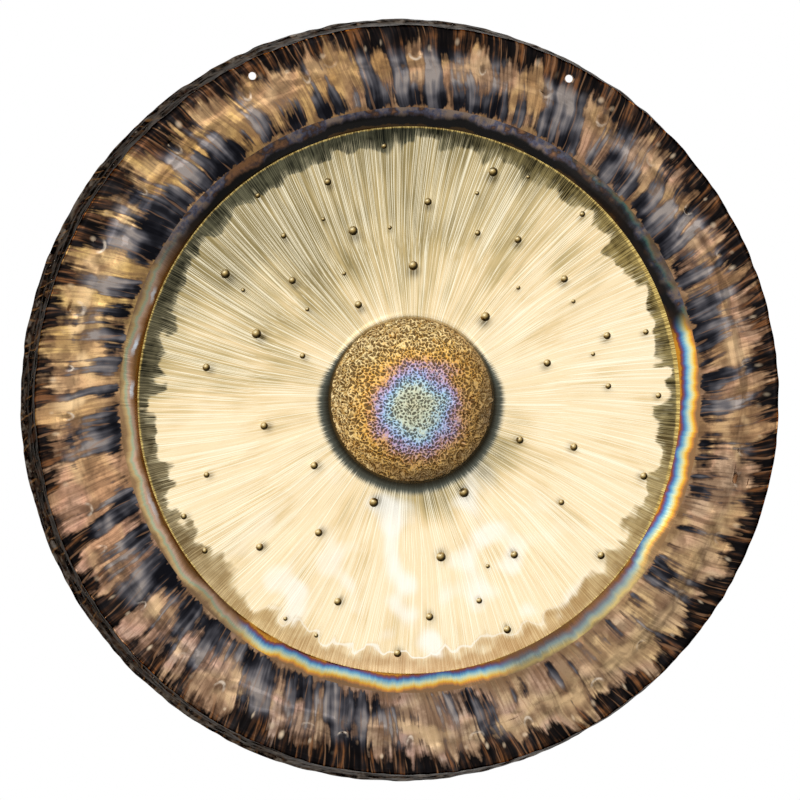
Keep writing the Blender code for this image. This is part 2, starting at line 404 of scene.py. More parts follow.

# %% [markdown]
# ## The relief of the rim
#
# The rim was raised by hammering outwards, which left lumps and flutes. Its outer slope also has
# rows of dents. A texture would smear them, so each dent is an entry in a list. The same list
# later tells the rim's finish where to paint highlights and shade in the dents.

# %% The relief of the rim
def rim_relief(along, clock):
    """Waves, lumps and flutes, from the middle of the channel to the shoulder."""
    start, end = BAND["rim_crown"]
    lumps = waves(along, clock, ((2.0, 46, 38, 62), (1.5, 25, 30, 63), (0.5, 11, 30, 61)))
    inner = smooth_step(BAND["tinted_channel"][0] + 8 * MM, start + 14 * MM, along)
    outer = 1 - smooth_step(end - 2 * MM, end + 6 * MM, along)
    return (lumps - 0.6) * inner * outer * MM


def list_dents():
    """The dents on the outer slope of the rim, in three loose rows, with their sizes and depths.

    Each dent also has a mark for its painted light: above 0 for a pale loop with shade inside,
    below 0 for a bright spot, and 0 for neither. The further it is from 0, the clearer the loop or spot.
    """
    rng = np.random.default_rng(71)
    end = BAND["rim_crown"][1]
    # Each row: its place along the sheet, how many dents, their radius, their depth, their mark
    rows = (
        (end - 32 * MM, 24, 13.0 * MM, 2.6 * MM, 0),
        (end - 7 * MM, 34, 7.5 * MM, 2.2 * MM, 1),
        (end + 5 * MM, 90, 4.5 * MM, 1.1 * MM, -1),
    )
    dents = []
    for row_along, count, size, depth, mark in rows:
        for turn in range(count):
            angle = (turn + rng.uniform(-0.35, 0.35)) * 2 * math.pi / count
            middle = row_along + rng.normal(0, 3.6 * MM)
            across_way, out_way = size * rng.uniform((0.5, 1.0), (1.3, 2.1))
            share = rng.uniform(0.3, 1.0)
            dents.append((angle, middle, across_way, out_way, depth * share, mark * share))
    return dents


DENTS = list_dents()


def clock_gap(clock, angle):
    """The angle from one clock angle to another, the shorter way round."""
    return (clock - angle + math.pi) % (2 * math.pi) - math.pi


def dent_distance(along, clock, angle, middle, across_way, out_way):
    """Sideways and outward distance to a dent's middle, each counted in the dent's radius."""
    return clock_gap(clock, angle) * CREST_RADIUS / across_way, (along - middle) / out_way


def dent_rows(along, clock):
    """Each dent is a bowl, (1 - d^2)^2 deep at the distance d from its middle."""
    lift = np.zeros(np.broadcast(along, clock).shape)
    for *dent, deep, _ in DENTS:
        side, out = dent_distance(along, clock, *dent)
        lift -= deep * np.clip(1 - side**2 - out**2, 0, None) ** 2
    return lift


def dent_facts(along, clock):
    """For every place: how far the nearest marked dent is, how far out from it, and its mark.

    Distances are counted in the dent's radius. Far from every dent the three numbers are
    2, 0 and 0. They become attributes of the mesh, which the rim's finish reads.
    """
    away, outward, mark = np.full(along.shape, 2.0), np.zeros(along.shape), np.zeros(along.shape)
    for *dent, _, sign in DENTS:
        side, out = dent_distance(along, clock, *dent)
        distance = np.hypot(side, out)
        nearer = (distance < np.minimum(away, 1.4)) & (sign != 0)
        away = np.where(nearer, distance, away)
        outward = np.where(nearer, out, outward)
        mark = np.where(nearer, sign, mark)
    return {"dent_away": away, "dent_out": outward, "dent_mark": mark}


print(len(DENTS), "dents")

# %% [markdown]
# ## The relief of the shoulder and the wall
#
# Bending the sheet back over its corner crowds the metal, and it creases. The flutes of the
# shoulder run on over the corner, so the two reliefs overlap there.

# %% The relief of the shoulder and the wall
def shoulder_relief(along, clock):
    """Narrow flutes and shallow dents, which run on over the corner onto the wall."""
    start = BAND["rim_crown"][1]
    flutes = waves(along, clock, ((0.45, 8, 30, 81), (0.6, 15, 12, 82)))
    return (flutes - 0.25) * smooth_step(start - 6 * MM, start + 8 * MM, along) * MM


def wall_relief(along, clock):
    """Creases of two sizes, and slow waves."""
    start = BAND["side_wall"][0]
    creases = waves(along, clock, ((0.8, 18, 11, 91), (0.35, 9, 6, 92), (0.4, 90, 60, 93)))
    return (creases - 0.3) * smooth_step(start - 4 * MM, start + 10 * MM, along) * MM


print(f"the wall starts {BAND['side_wall'][0]:.3f} m along the sheet")

# %% [markdown]
# ## Scallops and painted shade
#
# The brushing stops short of the field's edge in a row of lobes, and beside each point lies
# painted shade, towards the boss and downwards. Neither is a relief, but both are laid out one by
# one, so they are worked out here, and the mesh carries them to the field's finish.

# %% Scallops and painted shade
def scallop_edge(clock):
    """Where the bright field stops: a row of rounded lobes, with a cusp between each two.

    Each lobe is half an ellipse standing on a base line. The edge is the highest of them.
    """
    rng = np.random.default_rng(53)
    base = BAND["field_border"][0] - 14 * MM
    edge = np.full(np.shape(clock), base)
    angle = 0.0
    while angle < 2 * math.pi:
        half = rng.uniform(5, 22) * MM / FIELD_OUTER
        middle, height = angle + half, rng.uniform(2, 13) * MM
        bulge = np.sqrt(np.clip(1 - (clock_gap(clock, middle) / (1.12 * half)) ** 2, 0, None))
        edge = np.maximum(edge, base + height * bulge)
        angle += 2 * half
    return edge + 1.2 * MM * noise(60 * np.sin(clock), 60 * np.cos(clock), 0 * clock, 54)


def point_shade(along, clock):
    """Painted shade beside each raised point, on the side towards the boss and downwards."""
    here = place(along, clock, 0)
    dark = np.zeros(here.shape[:-1])
    for start, angle, size in zip(point_along, point_clock, point_size):
        middle = place(start - 1.1 * size, angle, 0) + np.array((0.3, 0, -0.5)) * size
        away = np.linalg.norm(here - middle, axis=-1) / (1.5 * size)
        dark = np.maximum(dark, np.exp(-(away**2)) * size / BIG)
    return dark


def edge_facts(along, clock):
    """Attributes of the field and its edge: how far past the lobes a place is, and its painted shade."""
    return {"past_lobes": along - scallop_edge(clock), "point_shade": point_shade(along, clock)}


print(f"the lobes reach {scallop_edge(np.linspace(0, 2 * math.pi, 360)).max():.3f} m along")

# %% [markdown]
# ## All reliefs as one
#
# Each relief works only on its own stretch of the sheet. They fade into each other at its ends,
# so they can simply be added up.

# %% All reliefs as one
def relief(along, clock):
    """How far the front of the sheet stands off its section, everywhere."""
    along, clock = np.broadcast_arrays(along, clock)
    lift = np.zeros(along.shape)
    for part, (low, high) in RELIEFS.items():
        here = (along >= low) & (along <= high)
        if here.any():
            lift[here] += part(along[here], clock[here])
    return lift


ALL_OUT = BAND["side_wall"][1]
RELIEFS = {
    boss_relief: (0, BOSS_END),
    field_relief: (field_start, field_end + 12 * MM),
    swelling: (field_start, field_end + 12 * MM),
    border_relief: (field_end - 8 * MM, BAND["field_border"][1] + 4 * MM),
    rim_relief: (BAND["tinted_channel"][0], BAND["hanging_shoulder"][1]),
    dent_rows: (BAND["rim_crown"][0], BAND["hanging_shoulder"][1]),
    shoulder_relief: (BAND["rim_crown"][1] - 8 * MM, ALL_OUT),
    wall_relief: (BAND["side_wall"][0] - 8 * MM, ALL_OUT),
}
print(len(RELIEFS), "reliefs on one sheet")

# %% [markdown]
# ## From arrays to meshes
#
# A Solidify modifier could give a surface its thickness, but here both sides are worked out. A
# band is a closed loop of rows: outwards along the front, then back inwards behind it.
# Turned once round the disc, it closes both ways, so the shell has no open edge. Each
# vertex keeps its distance along the sheet, for the materials.

# %% Mesh helpers
AROUND = 1152
CLOCKS = np.arange(AROUND) * 2 * math.pi / AROUND
SHARP = math.radians(60)
REAR_EDGE = cad_box[1][1]
OUTER_EDGE = EDGE_RADIUS - 0.05 * MM
print(AROUND, "columns round the disc")


def make_mesh(name, points, faces, **attributes):
    """A smooth mesh object at the origin, with one number per vertex for each attribute."""
    mesh = bpy.data.meshes.new(name)
    mesh.vertices.add(len(points))
    mesh.vertices.foreach_set("co", np.ascontiguousarray(points, dtype=np.float32).ravel())
    sizes = np.array([len(group[0]) for group in faces for _ in range(len(group))])
    corners = np.concatenate([group.ravel() for group in faces])
    mesh.loops.add(corners.size)
    mesh.loops.foreach_set("vertex_index", corners.astype(np.int32))
    mesh.polygons.add(sizes.size)
    starts = np.concatenate([[0], np.cumsum(sizes)[:-1]])
    mesh.polygons.foreach_set("loop_start", starts.astype(np.int32))
    mesh.update(calc_edges=True)
    mesh.validate()
    for attribute, values in attributes.items():
        layer = mesh.attributes.new(attribute, "FLOAT", "POINT")
        layer.data.foreach_set("value", np.ascontiguousarray(values, dtype=np.float32).ravel())
    mesh.shade_smooth()
    mesh.set_sharp_from_angle(angle=SHARP)
    piece = bpy.data.objects.new(name, mesh)
    bpy.context.scene.collection.objects.link(piece)
    print(f"{name}: {int((sizes - 2).sum())} triangles")
    return piece


def loop_faces(rows, columns):
    """Quads of a grid that closes on itself both ways, with their fronts turned outwards."""
    row, column = np.meshgrid(np.arange(rows), np.arange(columns), indexing="ij")
    next_row, next_column = (row + 1) % rows, (column + 1) % columns
    quads = [row * columns + column, row * columns + next_column,
             next_row * columns + next_column, next_row * columns + column]
    return np.stack(quads, axis=-1).reshape(-1, 4)


def band_shell(name, band, front_rows, back_rows, facts=None):
    """One band of the sheet as a closed shell, front and back, held inside the solid's edges.

    The function facts, if given, works out further attributes of its vertices.
    """
    start, end = BAND[band]
    front = np.linspace(start, end, front_rows + 1)
    back = np.linspace(end, start, back_rows + 1)
    along = np.concatenate([front, back])[:, None] + 0 * CLOCKS
    behind = np.concatenate([0 * front, 0 * back + 1])[:, None] + 0 * CLOCKS
    clock = np.broadcast_to(CLOCKS, along.shape)
    points = place(along, clock, relief(along, clock) - SHEET * behind)
    points[..., 1] = np.minimum(points[..., 1], REAR_EDGE)
    radius = np.hypot(points[..., 0], points[..., 2] - CENTRE_Z)
    shrink = np.minimum(1, OUTER_EDGE / radius)
    points[..., 0] *= shrink
    points[..., 2] = CENTRE_Z + (points[..., 2] - CENTRE_Z) * shrink
    faces = loop_faces(len(along), AROUND)
    extra = facts(along, clock) if facts else {}
    return make_mesh(name, points.reshape(-1, 3), [faces], along=along, behind=behind, **extra)


# %% [markdown]
# ## The boss
#
# The boss is the dome in the middle, chased all over with a net of ridges. A polar grid would
# crowd its middle with slivers, so its front is a square grid pushed onto a disc: each
# square ring becomes a circle. Its rim then has four times as many points as the grid has
# squares a side, evenly spaced, and the back is turned from that same ring.

# %% The boss
BOSS_GRID = AROUND // 4
BACK_RINGS, BACK_CROWDING = 14, 1.5
BACK_SOFTNESS, BACK_THICKER = 0.6, 2.4 * MM


def boss_shell():
    """The boss: the square (a, b) goes to the circle of radius max(|a|, |b|).

    The angle on it is 45 degrees times the smaller over the larger, from the nearest axis.
    """
    side = np.linspace(-1, 1, BOSS_GRID + 1)
    a, b = np.meshgrid(side, side, indexing="ij")
    ring = np.maximum(np.abs(a), np.abs(b))
    safe = np.where(ring == 0, 1, ring)
    across_first = np.abs(a) >= np.abs(b)
    lean = np.where(across_first, b, a) / safe * math.pi / 4
    clock = np.where(across_first, np.where(a > 0, lean, math.pi - lean),
                     np.where(b > 0, math.pi / 2 - lean, lean - math.pi / 2))
    along = ring * BOSS_END
    front = place(along, clock, relief(along, clock))
    pits = net_pits(along, clock)

    index = np.arange(front[..., 0].size).reshape(a.shape)
    quads = np.stack([index[:-1, :-1], index[:-1, 1:], index[1:, 1:], index[1:, :-1]], axis=-1)
    edge = np.flatnonzero(ring.ravel() == 1)
    turn = np.round((clock.ravel()[edge] % (2 * math.pi)) * AROUND / (2 * math.pi)) % AROUND
    edge = edge[np.argsort(turn)]

    inwards = np.linspace(0, 1, BACK_RINGS)[:-1, None] ** BACK_CROWDING
    back_along = BOSS_END * (1 - inwards) + 0 * CLOCKS
    back_clock = np.broadcast_to(CLOCKS, back_along.shape)
    thicker = BACK_THICKER * smooth_step(40 * MM, 65 * MM, back_along)
    back_relief = relief(back_along, back_clock) * BACK_SOFTNESS
    back = place(back_along, back_clock, back_relief - SHEET - thicker)
    back[0] = place(back_along[0], CLOCKS, relief(back_along[0], CLOCKS) - SHEET)
    pole = place(np.zeros(1), np.zeros(1), -SHEET)
    back_index = index.size + np.arange(back[..., 0].size).reshape(-1, AROUND)
    rings = np.concatenate([edge[None], back_index])
    following = np.roll(rings, -1, axis=1)
    sides = np.stack([rings[:-1], following[:-1], following[1:], rings[1:]], axis=-1)
    last = np.full(AROUND, index.size + back[..., 0].size)
    fan = np.stack([rings[-1], following[-1], last], axis=-1)

    points = np.concatenate([front.reshape(-1, 3), back.reshape(-1, 3), pole])
    extra = back[..., 0].size + 1
    return make_mesh(
        "boss_shell", points, [quads.reshape(-1, 4), sides.reshape(-1, 4), fan],
        along=np.concatenate([along.ravel(), back_along.ravel(), [0]]),
        behind=np.concatenate([np.zeros(index.size), np.ones(extra)]),
        pit=np.concatenate([pits.ravel(), np.zeros(extra)]),
    )


boss = boss_shell()

# %% [markdown]
# ## The other bands
#
# The hollow, the field, its edge, the channel, the rim, the shoulder and the wall are all
# slices of the one sheet, so one function makes them. A band gets as many rows as its dents
# need on the front, and fewer on the back.

# %% The other bands
moat = band_shell("moat_shell", "boss_moat", 16, 4)
field = band_shell("field_shell", "striking_field", 76, 6, edge_facts)
border = band_shell("border_shell", "field_border", 14, 3, edge_facts)
channel = band_shell("channel_shell", "tinted_channel", 24, 4)
crown = band_shell("crown_shell", "rim_crown", 60, 22, dent_facts)
shoulder = band_shell("shoulder_shell", "hanging_shoulder", 28, 20, dent_facts)
wall = band_shell("wall_shell", "side_wall", 56, 16)

# %% [markdown]
# ## The hanging holes
#
# The disc hangs by a cord through two plain drilled holes. Faces left out of the grid would
# give ragged holes, so a Boolean cuts them with a cylinder, as a drill does. The modifier's
# result is kept as the mesh.

# %% Drill the shoulder
BIT_SIDES, BIT_LENGTH = 48, 30 * MM


def drill(piece):
    """Cuts the two holes, one on each side of the top, straight through the sheet."""
    for side in (-1, 1):
        bpy.ops.mesh.primitive_cylinder_add(vertices=BIT_SIDES, radius=HOLE_RADIUS, depth=BIT_LENGTH,
                                            location=(side * HOLE_SPACING / 2, 0, 0),
                                            rotation=(math.pi / 2, 0, 0))
        bit = bpy.context.object
        cut = piece.modifiers.new("hole", "BOOLEAN")
        cut.operation = "DIFFERENCE"
        cut.solver = "EXACT"
        cut.object = bit
        done = piece.evaluated_get(bpy.context.evaluated_depsgraph_get())
        mesh = bpy.data.meshes.new_from_object(done)
        piece.modifiers.clear()
        piece.data = mesh
        bpy.data.objects.remove(bit)


drill(shoulder)
print("shoulder drilled:", len(shoulder.data.polygons), "faces")

# %% [markdown]
# ## The golden points
#
# Each point is a small dome with a flared foot that dips under the field. Spheres would meet the
# field in a hard line, so a dome and its foot are one grid, laid on the sheet at each
# place. All of them are one piece.

# %% The raised points
# The shape of a point, every number counted in its radius
FIRST_RING, LAST_RING, SEAT = 0.12, 1.5, 0.2
DOME_HEIGHT, DOME_REACH, DOME_RIM, PEAK = 0.78, 1.05, 0.9, 0.94
SKIRT_HEIGHT, SKIRT_WIDTH, SINK, SINK_START = 0.16, 0.3, 0.25, 1.15
# Where the light comes from on the dial, right and up
LIT_SIDE = (-0.6, 0.8)


def point_profile(reach):
    """Height against reach, both counted in the point's radius.

    It is an ellipse up to the rim of the dome, then a bell-shaped skirt, which sinks at its end.
    """
    dome = np.sqrt(np.clip(1 - (reach / DOME_REACH) ** 2, 0, None))
    skirt = SKIRT_HEIGHT * np.exp(-((reach - DOME_RIM) / SKIRT_WIDTH) ** 2)
    foot = np.where(reach > DOME_RIM, skirt, SKIRT_HEIGHT * dome)
    return DOME_HEIGHT * dome + foot - SINK * smooth_step(SINK_START, LAST_RING, reach)


def raised_points():
    """The profile turned once round each point, with a cap on top and a closed foot."""
    columns, rings = 16, 9
    angle = np.arange(columns) * 2 * math.pi / columns
    reach = np.linspace(FIRST_RING, LAST_RING, rings)
    height = point_profile(reach)
    points, quads, triangles, tops, alongs, sides = [], [], [], [], [], []
    for start, clock, size in zip(point_along, point_clock, point_size):
        radius = np.interp(start, section_along, section_radius)
        out = start + size * reach[:, None] * np.cos(angle)
        turned = clock + size * reach[:, None] * np.sin(angle) / radius
        here = np.array([start]), np.array([clock])
        surface = relief(*here)
        seat = surface - SEAT * size
        grid = place(out, turned, seat + size * height[:, None] + 0 * out)
        top = place(*here, seat + PEAK * size)
        foot = place(*here, surface - SHEET / 2)
        base = sum(len(part) for part in points)
        index = base + np.arange(grid[..., 0].size).reshape(rings, columns)
        following = np.roll(index, -1, axis=1)
        peak, bottom = base + index.size, base + index.size + 1
        skin = np.stack([index[:-1], following[:-1], following[1:], index[1:]], -1)
        quads.append(skin.reshape(-1, 4))
        triangles.append(np.stack([np.full(columns, peak), following[0], index[0]], -1))
        triangles.append(np.stack([np.full(columns, bottom), index[-1], following[-1]], -1))
        points += [grid.reshape(-1, 3), top, foot]
        tops += [np.repeat(1 - reach / LAST_RING, columns), [1.0, 0.0]]
        # The attribute side: how far towards the light on the dial, for the points' painted light and
        # shade
        sides += [(grid - top)[..., [0, 2]].reshape(-1, 2) @ LIT_SIDE / size, [0.0, 0.0]]
        alongs += [out.ravel(), [start, start]]
    points, quads, triangles = (np.concatenate(part) for part in (points, quads, triangles))
    return make_mesh("raised_points", points, [quads, triangles], along=np.concatenate(alongs),
                     top=np.concatenate(tops), side=np.concatenate(sides))


nubs = raised_points()

# %% [markdown]
# ## Nodes in few words
#
# Materials are trees of nodes. Wired one by one they take many lines, so a socket is wrapped
# here in a small class that knows plain sums: a * b adds a Multiply node. A finish can then
# be read as a recipe. New nodes always go into the tree that lies on the desk.

# %% Node helpers
desk = {}


class Value:
    """A socket that can stand in a formula. Each sum with it adds a Math node."""

    def __init__(self, socket):
        self.socket = socket

    def __add__(self, other):
        return calc("ADD", self, other)

    def __sub__(self, other):
        return calc("SUBTRACT", self, other)

    def __rsub__(self, other):
        return calc("SUBTRACT", other, self)

    def __mul__(self, other):
        return calc("MULTIPLY", self, other)

    def __truediv__(self, other):
        return calc("DIVIDE", self, other)

    def __abs__(self):
        return calc("ABSOLUTE", self)


def add(kind, inputs=(), **settings):
    """Adds a node to the tree on the desk. An input is a constant or the value that feeds it."""
    node = desk["tree"].nodes.new(kind)
    for name, value in settings.items():
        setattr(node, name, value)
    for key, value in dict(inputs).items():
        if isinstance(value, Value):
            desk["tree"].links.new(value.socket, node.inputs[key])
        else:
            node.inputs[key].default_value = value
    return node


def calc(operation, a, b=0.0):
    """A sum with one or two numbers."""
    return Value(add("ShaderNodeMath", {0: a, 1: b}, operation=operation).outputs[0])


def vector_calc(operation, a, b=(0, 0, 0)):
    """A sum with directions. A length and a dot product come out as one number."""
    node = add("ShaderNodeVectorMath", {0: a, 1: b}, operation=operation)
    return Value(node.outputs[1 if operation in ("LENGTH", "DOT_PRODUCT") else 0])


def remap(value, low, high, to_low=0.0, to_high=1.0, smooth=True):
    """The value between low and high, as a number between to_low and to_high."""
    kind = "SMOOTHSTEP" if smooth else "LINEAR"
    ends = {"Value": value, "From Min": low, "From Max": high, "To Min": to_low, "To Max": to_high}
    return Value(add("ShaderNodeMapRange", ends, interpolation_type=kind).outputs["Result"])


print("sums can be wired")

# %% [markdown]
# ## Colours in few words
#
# Colours are written as a screen shows them, from 0 to 255, because that is how the eye judges
# them. Blender reckons in linear light, so each is converted where it enters a tree. Coats of
# colour laid one over another do what thin oxides and soot do on real metal.

# %% Colours in few words
def linear(shade):
    """A colour as a screen shows it, 0 to 255, turned into Blender's linear numbers."""
    screen = np.array(shade) / 255
    curve = np.where(screen < 0.04045, screen / 12.92, ((screen + 0.055) / 1.055) ** 2.4)
    return (*curve.tolist(), 1.0)


def blend(share, first, second):
    """A colour between two others. Each is a value, or red, green and blue from 0 to 255."""
    first, second = (linear(shade) if isinstance(shade, tuple) else shade for shade in (first, second))
    return Value(add("ShaderNodeMix", {0: share, 6: first, 7: second}, data_type="RGBA").outputs[2])


def coats(front, *layers):
    """Lays one coat of colour after another over the front, each as thick as its share says."""
    for share, shade in layers:
        front = blend(share, front, shade)
    return front


def stepped(value, stops):
    """A ramp of linear colours along a value."""
    node = add("ShaderNodeValToRGB", {"Fac": value})
    elements = node.color_ramp.elements
    while len(elements) < len(stops):
        elements.new(1.0)
    for element, (at, shade) in zip(elements, stops):
        element.position = at
        element.color = shade
    return Value(node.outputs["Color"])


def ramp(value, stops, full=1):
    """Colours along a value. A stop is a place from 0 to full, then red, green and blue."""
    return stepped(value, [(at / full, linear(shade)) for at, *shade in stops])


def levels(value, stops, full=1):
    """Numbers along a value, as a ramp of greys. A stop is a place from 0 to full and a level."""
    return stepped(value, [(at / full, (level, level, level, 1.0)) for at, level in stops])


print("colours can be laid in coats")

# %% [markdown]
# ## What a place knows
#
# A pattern can read Blender's noise, a number that the mesh carries, or its own place on the
# object. Noise read at that place stays put when the disc is turned or exported.

# %% What a place knows
def texture(where, scale, detail, roughness=0.5):
    """Blender's noise, from 0 to 1, read at a place."""
    inputs = {"Vector": where, "Scale": scale, "Detail": detail, "Roughness": roughness}
    return Value(add("ShaderNodeTexNoise", inputs).outputs["Fac"])


def attribute(name):
    """A number that the mesh carries on its vertices."""
    return Value(add("ShaderNodeAttribute", attribute_name=name).outputs["Fac"])


def object_place():
    """The place on the object, in metres from its origin between the holes."""
    return Value(add("ShaderNodeTexCoord").outputs["Object"])


def speckle(per_metre, detail=2.0):
    """Even noise in all directions, so many lumps to the metre."""
    return texture(object_place(), per_metre, detail)


print("noise and attributes can be read")

# %% [markdown]
# ## Two node groups that every band uses
#
# The first gives the place on the sheet: how far along it, and how far up and right on the
# dial. The second is noise stretched outwards like fibres, a chosen number of
# fibres round the disc and so many lengths to the metre. It closes on itself at the top.

# %% Node groups
SEED_STEP = 17.3


def new_group(name, inputs, outputs):
    """Lays an empty group on the desk. Returns it and the values that come into it."""
    group = bpy.data.node_groups.new(name, "ShaderNodeTree")
    for label, default in inputs.items():
        socket = group.interface.new_socket(label, in_out="INPUT", socket_type="NodeSocketFloat")
        socket.default_value = default
    for label in outputs:
        group.interface.new_socket(label, in_out="OUTPUT", socket_type="NodeSocketFloat")
    desk["tree"] = group
    sockets = group.nodes.new("NodeGroupInput").outputs
    return group, {label: Value(sockets[label]) for label in inputs}


def centred_place():
    """The place on the object, counted from the disc's centre."""
    return vector_calc("ADD", object_place(), (0, 0, -CENTRE_Z))


def outward_direction():
    """The direction from the disc's axis to the surface, of length 1, with no part along Y."""
    return vector_calc("NORMALIZE", vector_calc("MULTIPLY", centred_place(), (1, 0, 1)))


def depthwise(value):
    """A direction along Y, as long as the value says."""
    return Value(add("ShaderNodeCombineXYZ", {"Y": value}).outputs[0])


print(f"the disc's centre lies {-CENTRE_Z:.3f} m below the holes")

# %% [markdown]
# ## The groups themselves
#
# A clock angle jumps from 360 to 0 at the top, and a noise read by it would show a seam. So the
# fibres read their noise on a circle, at the outward direction, which has no jump.

# %% The groups themselves
place_group, _ = new_group("place_on_sheet", {}, ("Along", "Up", "Right"))
axes = add("ShaderNodeSeparateXYZ", {0: outward_direction()}).outputs
add("NodeGroupOutput", {"Along": attribute("along"), "Up": Value(axes["Z"]), "Right": Value(axes["X"])})

FIBRE_INPUTS = {"Fibres": 200.0, "Per Metre": 20.0, "Seed": 0.0, "Detail": 2.0, "Lean": 0.0, "Sway": 0.0}
fibre_group, given = new_group("outward_fibres", FIBRE_INPUTS, ("Value",))
length = attribute("along")
outward = outward_direction()
slow = vector_calc("ADD", vector_calc("MULTIPLY", outward, (3.0, 3.0, 3.0)), depthwise(length * 9.0))
wander = (texture(slow, 1.5, 1.0) - 0.5) * given["Sway"]
turned = {"Vector": outward, "Axis": (0, 1, 0), "Angle": length * given["Lean"] + wander}
leaning = Value(add("ShaderNodeVectorRotate", turned, rotation_type="AXIS_ANGLE").outputs[0])
wide = vector_calc("MULTIPLY", leaning, given["Fibres"] / (2 * math.pi))
deep = depthwise(length * given["Per Metre"] + given["Seed"] * SEED_STEP)
grain = texture(vector_calc("ADD", wide, deep), 1.0, given["Detail"], 0.55)
add("NodeGroupOutput", {"Value": grain})
print("node groups:", place_group.name, "and", fibre_group.name)

# %% [markdown]
# ## Reading the groups
#
# The finishes ask for these things all the time: the place on the sheet, some fibres, and a
# level or a colour that changes with the clock angle, because the disc's sides differ.

# %% Reading the groups
def on_sheet():
    """How far along the sheet a place is, and how far up and how far right on the dial."""
    outputs = add("ShaderNodeGroup", node_tree=place_group).outputs
    return [Value(outputs[name]) for name in ("Along", "Up", "Right")]


def fibres(count, per_metre, seed, detail=2.0, lean=0.0, sway=0.0):
    """Noise in outward fibres. Lean turns them sideways, and sway makes them wander."""
    inputs = dict(zip(FIBRE_INPUTS, (count, per_metre, seed, detail, lean, sway)))
    return Value(add("ShaderNodeGroup", inputs, node_tree=fibre_group).outputs["Value"])


def by_clock():
    """The clock angle as a number: 0 at the top, 0.25 at the right, 0.5 at the bottom."""
    _, up, right = on_sheet()
    return remap(calc("ARCTAN2", right * -1.0, up * -1.0), -math.pi, math.pi, smooth=False)


def full_turn(stops):
    """Stops in degrees. A list that starts at 0 gets its first stop once more at 360."""
    return stops + [(360, *stops[0][1:])] if stops[0][0] == 0 else stops


def clock_levels(stops):
    """Numbers by the clock angle in degrees."""
    return levels(by_clock(), full_turn(stops), 360)


def clock_colours(stops):
    """Colours by the clock angle in degrees."""
    return ramp(by_clock(), full_turn(stops), 360)


print("fibres take", ", ".join(FIBRE_INPUTS))

# %% [markdown]
# ## What every finish shares
#
# Every finish is bare bronze: metallic, with the colour that its reflections take. The photo
# doesn't show the back, so it is guessed as the same metal left rough and brown from the
# fire. One material serves both sides, and the attribute behind tells them apart. The two
# outer bands take a darker glancing tint, since soot doesn't shine white when seen flat.
# What is left for each finish is a paint: the front's colour and a height for the bump.

# %% What every finish shares
BACK_BROWN, BACK_DARK, BACK_ROUGHNESS = (112, 84, 58), (62, 48, 38), 0.42
PLAIN_TINT, SOOTY_TINT = (1.0, 1.0, 1.0, 1.0), (0.3, 0.28, 0.26, 1.0)


def bare_metal(name, roughness, coat=0.0, glancing=PLAIN_TINT):
    """A new bare metal, whose tree is laid on the desk."""
    material = bpy.data.materials.new(name)
    material.use_nodes = True
    desk["tree"] = material.node_tree
    inputs = material.node_tree.nodes["Principled BSDF"].inputs
    settings = {"Metallic": 1.0, "Roughness": roughness, "Coat Weight": coat,
                "Coat Roughness": 0.12, "Specular Tint": glancing}
    for label, value in settings.items():
        inputs[label].default_value = value
    return material


def feed(material, label, value):
    """Wires a value to the shader."""
    tree = material.node_tree
    tree.links.new(value.socket, tree.nodes["Principled BSDF"].inputs[label])


def wear(piece, material, node):
    """Puts the material on the piece, hangs it under the root body, and hides the solid it stands for."""
    piece.data.materials.clear()
    piece.data.materials.append(material)
    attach(piece, "root")
    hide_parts(node)
    print(f"{piece.name}: {material.name}, {len(material.node_tree.nodes)} nodes")


def finish(piece, name, node, paint, roughness, depth, coat=0.0, glancing=PLAIN_TINT):
    """Shows what paint returns on the front, and rougher, fire-browned metal behind.

    The depth of the bump is in metres.
    """
    material = bare_metal(name, roughness, coat, glancing)
    front, height = paint()
    behind = attribute("behind")
    back = blend(remap(fibres(60, 22, 9, 4), 0.4, 0.62), BACK_DARK, BACK_BROWN)
    feed(material, "Base Color", blend(behind, front, back))
    feed(material, "Roughness", remap(behind, 0.0, 1.0, roughness, BACK_ROUGHNESS, False))
    bump = add("ShaderNodeBump", {"Height": height, "Distance": depth, "Strength": 1.0})
    feed(material, "Normal", Value(bump.outputs["Normal"]))
    wear(piece, material, node)


print(f"the back is {BACK_ROUGHNESS} rough")

# %% [markdown]
# ## The boss's finish
#
# The maker heated the boss from one spot, so rings of heat colour lie round it: straw, blue,
# violet, orange, gold. They follow the distance from that spot, made ragged by noise. Painted
# highlights lie high on the left and painted shade low on the right. The attribute pit, from the
# mesh, paints shade into the pits between the chased ridges.

# %% The boss's finish
HOT_SPOT = (-7 * MM, 0, CENTRE_Z - 5 * MM)
RING_PULL = (0.19, 0, -0.10)


